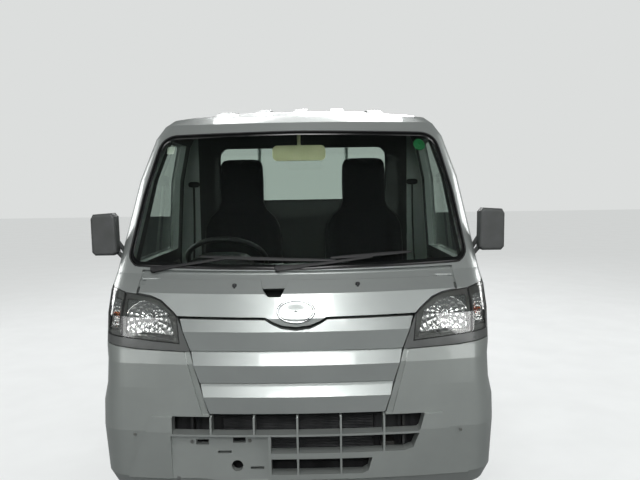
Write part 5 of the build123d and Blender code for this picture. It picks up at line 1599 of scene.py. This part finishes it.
@dataclass(frozen=True)
class Dash:
    """Fittings of the dash: cluster hood, vents, centre panel, glove box, levers and pedals.

    The face is (height, station) of the dash's rear side, vents are a name and an x, pedals are
    a name, an x and a half width, and the tray's rings are (height, half width, half length).
    """

    face: tuple[Pair, ...] = ((720, 360), (790, 430), (900, 560), (990, 572))
    hood_foot: Triple = (-335.0, 500.0, 1024.0)
    hood_half: Pair = (132.0, 50.0)
    hood_section: tuple[Pair, ...] = ((-3, -62), (-5, 58), (0, 62), (4, 58), (3, -60))
    vents: tuple[tuple[str, float], ...] = (
        ("right", -545.0), ("centre_right", -75.0), ("centre_left", 75.0), ("left", 545.0),
    )
    vent_z: float = 948.0
    vent_half: Pair = (52.0, 26.0)
    slats: int = 4
    slat_pitch: float = 11.3
    panel_z: float = 846.0
    knobs: Triple = (-62.0, 0.0, 62.0)
    knob: tuple[Pair, ...] = ((0, 14), (14, 13), (16, 11), (16, 0.1))
    lever_foot: Triple = (-70.0, 790.0, 520.0)
    boot: tuple[Pair, ...] = ((0, 34), (10, 44), (14, 40), (40, 22), (52, 16), (56, 9))
    brake_foot: Triple = (75.0, 905.0, 716.0)
    pedals: tuple[tuple[str, float, float], ...] = (
        ("throttle", -250.0, 22.0), ("brake", -335.0, 34.0), ("clutch", -425.0, 32.0),
    )
    tray: tuple[Triple, ...] = (
        (702, 58, 96), (740, 60, 100), (762, 62, 103), (765, 60, 101), (762, 57, 97), (722, 52, 92),
        (720, 30, 60),
    )
    tray_station: float = 1080.0

    def front(self, z: float) -> float:
        """Station of the dash's rear face at a height.

        Args:
            z: the height.

        Returns:
            The station.
        """
        heights, stations = np.array(self.face, float).T
        return float(np.interp(z, heights, stations))

    def build(self) -> None:
        """Makes all the dash's fittings."""
        self.cluster()
        for name, x in self.vents:
            self.vent(name, x)
        z = self.panel_z
        knobs = [Shell.turned(self.knob, (x, 553, z - 18), AFT, 24, False) for x in self.knobs]
        body = Shell.pill((0, 512, z), (104, 42, 52), 9.0, 18, 40)
        add("heater_panel", GREY_PLASTIC, body, *knobs, Shell.pill((0, 553, z + 22), (88, 4, 17), 8.0))
        lid = Shell.pill((330, self.front(940) - 3, 938), (150, 7, 34), 12.0, 18, 48)
        catch = Shell.pill((330, self.front(958) + 6, 958), (28, 4, 7), 5.0)
        add("glove_box_lid", BLACK_PLASTIC, lid, catch)
        self.levers()
        for name, x, wide in self.pedals:
            self.pedal(f"{name}_pedal", x, wide)
        height, wide, deep = np.array(self.tray, float).T[..., None]
        cos, sin = circle(48, 0.25).T
        rings = xyz(wide * cos, self.tray_station + deep * sin, height)
        add("centre_tray", GREY_PLASTIC, Shell.grid(rings, wrap_v=True, cap=True), bevel=1.0)

    def cluster(self) -> None:
        """A hood bent over two dials: height = (1 - |u|^3.2)^(1 / 2.2) of its half height."""
        u = np.linspace(-1, 1, 24)
        x, s, z = self.hood_foot
        wide, high = self.hood_half
        path = xyz(x + wide * u, s, z + high * (1 - np.abs(u) ** 3.2) ** (1 / 2.2))
        add("cluster_hood", BLACK_PLASTIC, Shell.swept(path, self.hood_section, AFT), bevel=1.5)
        add(
            "instrument_cluster", GREY_PLASTIC,
            Shell.pill((-335, 486, 1040), (122, 8, 26), 4.0),
            Shell.turned([(0, 0.1), (3, 34), (6, 36), (-6, 36)], (-385, 492, 1040), AFT, 32, False),
            Shell.turned([(0, 0.1), (3, 26), (6, 28), (-6, 28)], (-290, 492, 1042), AFT, 32, False),
        )

    def levers(self) -> None:
        """The gear lever with its boot and knob, and the hand brake with its grip."""
        t = np.linspace(0, 1, 12)[:, None]
        x, s, z = self.lever_foot
        add(
            "gear_lever", BLACK_PLASTIC,
            Shell.tube(np.array(self.lever_foot) + t * (-14, 8, 285), 7.0, AFT, sides=14),
            Shell.pill((x - 15, s + 9, z + 302), (19, 19, 27), 2.6),
            Shell.turned(self.boot, (x, s, z - 8), UP, 28, False),
        )
        lever = Shell.swept(np.array(self.brake_foot) + t * (0, -150, 62), box((-9, -5), (9, 5)))
        grip = Shell.pill((75, 770, 772), (14, 52, 15), 3.0)
        add("hand_brake", BLACK_PLASTIC, lever, grip, bevel=0.8)

    @staticmethod
    def pedal(name: str, x: float, wide: float) -> None:
        """A hanging pedal: arm = foot + t down and back, bowed by sin(pi t), and a ribbed pad.

        Args:
            name: the piece's name.
            x: its middle.
            wide: half the pad's width.
        """
        t = np.linspace(0, 1, 12)[:, None]
        arm = np.array([x, 330, 740.0]) + t * (0, 120, -140) + (0, 40, 0) * np.sin(t * math.pi)
        ribs = [Shell.pill((x, 463, 584 + 8 * k), (wide - 4, 2.2, 2.2), 3.0) for k in range(5)]
        pad = Shell.pill((x, 456, 600), (wide, 7, 26), 6.0)
        add(name, BLACK_PLASTIC, Shell.tube(arm, 6.0, SIDEWAYS, sides=10), pad, *ribs)

    def vent(self, name: str, x: float) -> None:
        """A louvred vent: a rounded frame with slats at an even pitch.

        Args:
            name: which vent it is.
            x: its middle.
        """
        wide, high = self.vent_half
        z, s = self.vent_z, self.front(self.vent_z) + 2
        ring = ring_of(box((x - wide, z - high), (x + wide, z + high)), 64, 0.1)
        rim = Shell.tube(xyz(ring[:, 0], s, ring[:, 1]), 4.5, AFT, closed=True, sides=10)
        slats = [
            Shell.pill((x, s - 3, z - 17 + self.slat_pitch * k), (50, 6, 1.6), 5.0, 8, 16)
            for k in range(self.slats)
        ]
        add(f"vent_{name}", BLACK_PLASTIC, rim, *slats)


@dataclass(frozen=True)
class DoorTrim:
    """One door's card, armrest, winder, pull, mirror glass, weatherstrips and lock.

    Outlines are (station, height) for the card and the window, (x, height) for the mirror.
    """

    side: Side
    window: tuple[Pair, ...] = ((472, 1040), (868, 1588), (1172, 1588), (1176, 1040))
    card: tuple[Pair, Pair] = ((450, 560), (1160, 985))
    card_x: float = 668.0
    card_swell: float = 5.0
    mirror: tuple[Pair, ...] = ((755, 1092), (846, 1098), (848, 1250), (758, 1258))
    mirror_station: float = 433.0
    mirror_bulge: float = 3.2
    lock_at: Pair = (1080.0, 922.0)
    lock: tuple[Pair, ...] = (
        (2.2, 0.1), (2.2, 5), (1.2, 5.4), (1.2, 9), (2.4, 10), (2.0, 12), (-2, 12.5),
    )

    def inner(self, z: np.ndarray, depth: float) -> np.ndarray:
        """Distance from the middle of the door's side at a height: the skin's half width - depth.

        Args:
            z: heights.
            depth: how far inside the skin.

        Returns:
            Distances in millimetres.
        """
        return SKIN.at_heights(z)[1] - depth

    def build(self) -> None:
        """Makes the door's fittings."""
        self.door_card()
        self.handles()
        self.mirror_glass()
        self.weatherstrips()

    def door_card(self) -> None:
        """A padded card that swells inwards by 1 - t^8 of the way out, and its armrest."""
        shares = np.linspace(1, 0.02, 14)
        flat = fan(ring_of(box(*self.card), 160, 0.06), shares)
        sheet = xyz(self.card_x - self.card_swell * (1 - shares**8), flat[..., 0], flat[..., 1])
        card = Shell.grid(sheet, wrap_u=True)
        add("door_card", GREY_PLASTIC, card, body=self.side.door, side=self.side, thick=2.5)
        rest = Shell.pill((640, 850, 775), (26, 165, 24), 4.0, 16, 40)
        cup = Shell.pill((632, 930, 800), (12, 60, 10), 3.0)
        add("armrest", BLACK_PLASTIC, rest, cup, body=self.side.door, side=self.side)

    def handles(self) -> None:
        """The window winder with its knob, and the inner door handle."""
        u = np.linspace(0, 1, 10)[:, None]
        add(
            "window_winder", BLACK_PLASTIC,
            Shell.turned([(6, 0.1), (4, 14), (-4, 24), (-14, 26)], (655, 690, 715), (-1, 0, 0), 28, False),
            Shell.swept(np.array([650, 690, 715.0]) + u * (-6, 92, -34), circle(14) * (9, 5), SIDEWAYS),
            Shell.turned([(0, 0.1), (0, 9), (-26, 11), (-30, 8), (-31, 0.1)], (645, 782, 681), SIDEWAYS, 20),
            body=self.side.door, side=self.side,
        )
        pull = Shell.pill((655, 1000, 905), (8, 52, 20), 4.0)
        lever = Shell.pill((646, 1008, 905), (5, 30, 10), 3.0)
        add("inner_handle", CHROME, pull, lever, body=self.side.door, side=self.side, slot="black_plastic")

    def mirror_glass(self) -> None:
        """The door mirror's glass, bulged by 1 - t^2 of the way out, and its bezel."""
        oval = ring_of(self.mirror, 96, 0.12)
        shares = np.linspace(0.02, 1, 9)
        flat = fan(oval, shares * 0.94)
        bulge = self.mirror_bulge * (1 - shares**2)
        glass = Shell.grid(xyz(flat[..., 0], self.mirror_station + 0.5 + bulge, flat[..., 1]), wrap_u=True)
        add("mirror_glass", MIRROR, glass, body=self.side.door, side=self.side, thick=1.2)
        rim = xyz(oval[:, 0], self.mirror_station, oval[:, 1])
        bezel = Shell.tube(rim, 3.2, AFT, closed=True, sides=10)
        add("mirror_bezel", BLACK_PLASTIC, bezel, body=self.side.door, side=self.side)

    def weatherstrips(self) -> None:
        """A rubber run round the window and a lock cylinder under the handle."""
        ring = ring_of(self.window, 220, 0.03)
        s, z = fan(ring, np.array([0.996]))[:, 0].T
        run = Shell.tube(xyz(self.inner(z, 3.0), s, z), 3.6, SIDEWAYS, closed=True, sides=8)
        add("window_run", SEAL, run, body=self.side.door, side=self.side)
        place = (float(self.inner(905.0, 0.0)) - 1.0, *self.lock_at)
        cylinder = Shell.turned(self.lock, place, SIDEWAYS, 28, False)
        add("door_lock", ZINC, cylinder, body=self.side.door, side=self.side)


@dataclass(frozen=True)
class Cabin:
    """Mirror glass, belts with their buckles, and the rear window's seal, all as (x, height)."""

    mirror: tuple[Pair, Pair] = ((-113, 1487), (113, 1543))
    mirror_station: float = 724.6
    window: tuple[Pair, Pair] = ((-470, 1285), (470, 1588))
    window_station: float = 1341.0
    belt_top: Triple = (612.0, 1300.0, 1375.0)
    belt_half: Pair = (23.0, 0.8)
    buckle_foot: Triple = (86.0, 1200.0, 702.0)

    def build(self) -> None:
        """Makes the cabin's fittings."""
        flat = fan(ring_of(box(*self.mirror), 96, 0.14), np.linspace(0.02, 1, 7))
        glass = Shell.grid(xyz(flat[..., 0], self.mirror_station, flat[..., 1]), wrap_u=True)
        add("cabin_mirror_glass", MIRROR, glass, thick=1.0)
        window = ring_of(box(*self.window), 260, 0.07)
        path = xyz(window[:, 0], self.window_station, window[:, 1])
        add("rear_window_seal", SEAL, Shell.tube(path, 7.0, AFT, closed=True, sides=12))
        for side in Side:
            self.belt(side)

    def belt(self, side: Side) -> None:
        """A belt hung by the rear pillar, bowed by sin(pi t), its guide, and a buckle.

        Args:
            side: which seat the belt is for.
        """
        t = np.linspace(0, 1, 40)[:, None]
        wide, thin = self.belt_half
        path = self.belt_top + t * (30, 4, -640) + np.array([-10, -8, 0]) * np.sin(t * math.pi)
        add("belt", BELT, Shell.swept(path, box((-wide, -thin), (wide, thin)), SIDEWAYS), side=side)
        add("belt_guide", BLACK_PLASTIC, Shell.pill((612, 1306, 1384), (32, 10, 16), 3.0), side=side)
        stalk = Shell.tube(self.buckle_foot + t * (4, -36, 130), 8.0, SIDEWAYS, sides=12)
        buckle = Shell.pill((90, 1160, 850), (17, 13, 40), 5.0, 16, 32)
        add("buckle", BLACK_PLASTIC, stalk, buckle, side=side)


@dataclass(frozen=True)
class BedFittings:
    """Gate latches, rope hooks, tail lamps and the front springs.

    Lenses are a colour, an x, a half width and a finish.
    """

    hooks: tuple[float, ...] = (1560.0, 1860.0, 2160.0, 2460.0, 2760.0, 3060.0)
    hook_x: float = 712.0
    hook_radius: float = 24.0
    latches: Pair = (1462.0, 3318.0)
    boss: tuple[Pair, ...] = ((5, 0.1), (5, 7), (3.6, 9), (-3, 9.5))
    lens_z: float = 510.0
    lens_high: float = 33.0
    lens_ribs: int = 7
    lenses: tuple[tuple[str, float, float, Finish], ...] = (
        ("amber", 622.0, 28.0, AMBER_PANEL), ("red", 561.0, 31.0, RED_LENS),
        ("clear", 499.0, 29.0, WHITE_PANEL),
    )
    spring_turns: float = 6.2
    spring_radius: float = 30.5
    spring_x: float = 540.0
    spring_z: float = 392.0
    spring_high: float = 186.0

    def build(self) -> None:
        """Makes the bed's fittings."""
        for side in Side:
            self.gate_latches(side)
            self.rope_hooks(side)
            self.tail_lamp(side)
            self.spring(side)

    def gate_latches(self, side: Side) -> None:
        """An over-centre latch at each end of a side gate: base, handle and boss.

        Args:
            side: which gate.
        """
        parts = []
        for s in self.latches:
            parts.append(Shell.pill((736, s, 880), (2.6, 17, 44), 8.0))
            parts.append(Shell.pill((740, s, 868), (3.2, 8, 38), 3.0))
            parts.append(Shell.turned(self.boss, (738, s, 904), SIDEWAYS, 20, False))
        add("gate_latches", ZINC, *parts, body=side.gate, side=side)

    def rope_hooks(self, side: Side) -> None:
        """Bent rods under the bed's rail: two legs and a half circle below.

        Args:
            side: which side of the bed.
        """
        a = np.linspace(0, math.pi, 14)
        station = -self.hook_radius * np.cos(a)
        height = 618 - self.hook_radius * np.sin(a)
        rods = []
        for s in self.hooks:
            bend = xyz(
                self.hook_x, s + np.concatenate([station[:1], station, station[-1:]]),
                np.concatenate([[634], height, [634]]),
            )
            rods.append(Shell.tube(along(bend, 36), 4.0, SIDEWAYS, sides=10))
        add("rope_hooks", FRAME_ENAMEL, *rods, side=side)

    def tail_lamp(self, side: Side) -> None:
        """A box with an amber, a red and a clear lens, each with moulded ribs.

        Station = 3367.2 + 7.4 sqrt(edge) + 0.5 cos(7 turns) edge, where edge falls from 1 in the
        middle to 0 at the rim as (1 - |u|^10)(1 - |v|^10).

        Args:
            side: which lamp.
        """
        case = Shell.pill((560, 3358, self.lens_z), (95, 9.2, 38), 14.0, 24, 56)
        made = add("tail_lamp_case", BLACK_PLASTIC, case, side=side, slot="tail_lamp_red")
        if side is Side.LEFT:
            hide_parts("tail_lamps")
        u = np.linspace(-1, 1, 60)[:, None]
        v = np.linspace(-1, 1, 40)[None]
        edge = np.clip(1 - np.abs(u) ** 10, 0, 1) * np.clip(1 - np.abs(v) ** 10, 0, 1)
        station = 3367.2 + 7.4 * edge**0.5 + 0.5 * np.cos(TAU * self.lens_ribs * v) * edge
        for colour, x, half, finish in self.lenses:
            sheet = Shell.grid(xyz(x + half * u, station, self.lens_z + self.lens_high * v))
            add(f"tail_lens_{colour}", finish, sheet, side=side, thick=0.8)

    def spring(self, side: Side) -> None:
        """A coil spring round the front strut: (r cos a, r sin a) rising evenly with a.

        Args:
            side: which strut.
        """
        a = np.linspace(0, TAU * self.spring_turns, 330)
        path = xyz(
            self.spring_x + self.spring_radius * np.cos(a), FRONT_AXLE + self.spring_radius * np.sin(a),
            self.spring_z + self.spring_high * a / a[-1],
        )
        add("coil_spring", SPRING_STEEL, Shell.tube(path, 5.4, UP, sides=12), side=side)


@dataclass(frozen=True)
class Studio:
    """Floor, lamps, surround and the camera at the photograph's angle, in metres.

    Each row of the lamp plan is a name, a place, an aim, a size and a share of the key lamp.
    The two fades are the heights of a look between which the room and the backdrop give way.
    """

    camera_x: float = 0.091
    camera_distance: float = 2.08
    camera_height: float = 1.345
    focal_px: float = 600.0
    image_width_px: float = 640.0
    sensor_mm: float = 36.0
    clip: Pair = (0.05, 200.0)
    pitch_deg: float = -4.76
    roll_deg: float = -0.85
    nose_y: float = -LENGTH / 2 * MM
    floor_half: float = 30.0
    key_watts: float = 140.0
    lamp_plan: tuple[tuple[str, Triple, Triple, float, float], ...] = (
        ("front_top", (0.0, -4.4, 5.2), (0.0, -1.6, 0.8), 2.0, 0.85),
        ("front_middle", (0.0, -6.2, 3.3), (0.0, -1.6, 0.8), 1.6, 0.9),
        ("front_left", (3.8, -5.0, 2.6), (0.0, -1.4, 0.8), 2.0, 0.3),
        ("front_right", (-3.8, -5.0, 2.6), (0.0, -1.4, 0.8), 2.0, 0.2),
        ("bed", (0.0, 2.6, 4.0), (0.0, 0.8, 0.8), 2.6, 1.0),
        ("rear", (0.8, 6.8, 3.8), (0.0, 1.7, 0.6), 2.0, 0.9),
        ("left", (4.6, 0.8, 2.6), (0.0, 0.4, 0.7), 2.4, 0.6),
        ("right", (-4.6, 0.8, 2.6), (0.0, 0.4, 0.7), 2.4, 0.6),
    )
    room: str = "#cfd6d4"
    room_strength: Pair = (0.22, 0.03)
    room_fade: Pair = (0.5, 0.9)
    backdrop: str = "#dcdedd"
    glass_share: Pair = (0.6, 0.0)
    glass_fade: Pair = (0.15, 0.3)

    def floor(self) -> None:
        """A flat square on the ground."""
        corners = [(x, y, 0) for x, y in box((-self.floor_half,) * 2, (self.floor_half,) * 2)]
        mesh = bpy.data.meshes.new("floor")
        mesh.from_pydata(corners, [], [(0, 1, 2, 3)])
        sheet = bpy.data.objects.new("floor", mesh)
        bpy.context.scene.collection.objects.link(sheet)
        mesh.materials.append(PALE_FLOOR.build())

    def lamps(self) -> None:
        """Soft boxes ahead, over the bed, behind and at each side."""
        for name, spot, aim, size, share in self.lamp_plan:
            data = bpy.data.lights.new(name, "AREA")
            data.size = size
            data.energy = self.key_watts * share
            lamp = bpy.data.objects.new(name, data)
            lamp.location = spot
            way = Vector(aim) - Vector(spot)
            lamp.rotation_euler = way.to_track_quat("-Z", "Y").to_euler()
            bpy.context.scene.collection.objects.link(lamp)

    def world(self) -> None:
        """A soft surround for the light, and a pale backdrop for the camera and through glass.

        Share of the backdrop = the greater of camera ray, and transmission ray times the fade.
        """
        made = bpy.data.worlds.new("studio")
        made.use_nodes = True
        tree = made.node_tree
        tree.nodes.clear()
        place = node(tree, "ShaderNodeTexCoord").outputs["Generated"]
        high = node(tree, "ShaderNodeSeparateXYZ", {0: place}).outputs["Z"]
        strength, low = (
            node(tree, "ShaderNodeMapRange", {
                "Value": high, "From Min": fade[0], "From Max": fade[1], "To Min": span[0], "To Max": span[1],
            }).outputs["Result"]
            for fade, span in ((self.room_fade, self.room_strength), (self.glass_fade, self.glass_share))
        )
        room = node(tree, "ShaderNodeBackground", {"Color": linear(self.room), "Strength": strength})
        backdrop = node(tree, "ShaderNodeBackground", {"Color": linear(self.backdrop), "Strength": 1.0})
        ray = node(tree, "ShaderNodeLightPath").outputs
        glass = node(tree, "ShaderNodeMath", {0: ray["Is Transmission Ray"], 1: low}, operation="MULTIPLY")
        share = node(
            tree, "ShaderNodeMath", {0: ray["Is Camera Ray"], 1: glass.outputs[0]}, operation="MAXIMUM"
        )
        mixed = node(tree, "ShaderNodeMixShader", {
            0: share.outputs[0], 1: room.outputs[0], 2: backdrop.outputs[0],
        })
        node(tree, "ShaderNodeOutputWorld", {"Surface": mixed.outputs[0]})
        bpy.context.scene.world = made

    def camera(self) -> None:
        """Places the camera by its distance ahead of the bumper."""
        data = bpy.data.cameras.new("camera")
        data.sensor_width = self.sensor_mm
        data.lens = self.sensor_mm * self.focal_px / self.image_width_px
        data.clip_start, data.clip_end = self.clip
        made = bpy.data.objects.new("camera", data)
        made.location = (self.camera_x, self.nose_y - self.camera_distance, self.camera_height)
        pitch = Matrix.Rotation(math.radians(90 + self.pitch_deg), 4, "X")
        roll = Matrix.Rotation(math.radians(self.roll_deg), 4, "Z")
        made.rotation_euler = (pitch @ roll).to_euler()
        bpy.context.scene.collection.objects.link(made)
        bpy.context.scene.camera = made

    def build(self) -> None:
        """Sets the whole stage."""
        bpy.context.scene.view_settings.view_transform = "Standard"
        self.floor()
        self.lamps()
        self.world()
        self.camera()


def wipers() -> None:
    """Both wipers, of which the first stands for the CAD wipers."""
    right = Wiper("right", ((-563, 1046), (-420, 1067), (-267, 1090)), ((-380, 1095), (151, 1078)))
    middle = Wiper("middle", ((-72, 1053), (110, 1068), (292, 1088)), ((130, 1087), (450, 1101)))
    made = [wiper.build() for wiper in (right, middle)]
    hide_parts("wipers")


def main() -> None:
    """Builds everything in order."""
    dress_cad_nodes()
    Windscreen().build()
    wipers()
    Nose().build()
    for side in Side:
        Headlamp(side).build()
        DoorTrim(side).build()
    SteeringWheel().build()
    Seats().build()
    Dash().build()
    Cabin().build()
    BedFittings().build()
    for side in Side:
        for end, axle in (("front", FRONT_AXLE), ("rear", REAR_AXLE)):
            Tyre(end, axle, side).build()
    Studio().build()


if __name__ == "__main__":
    main()
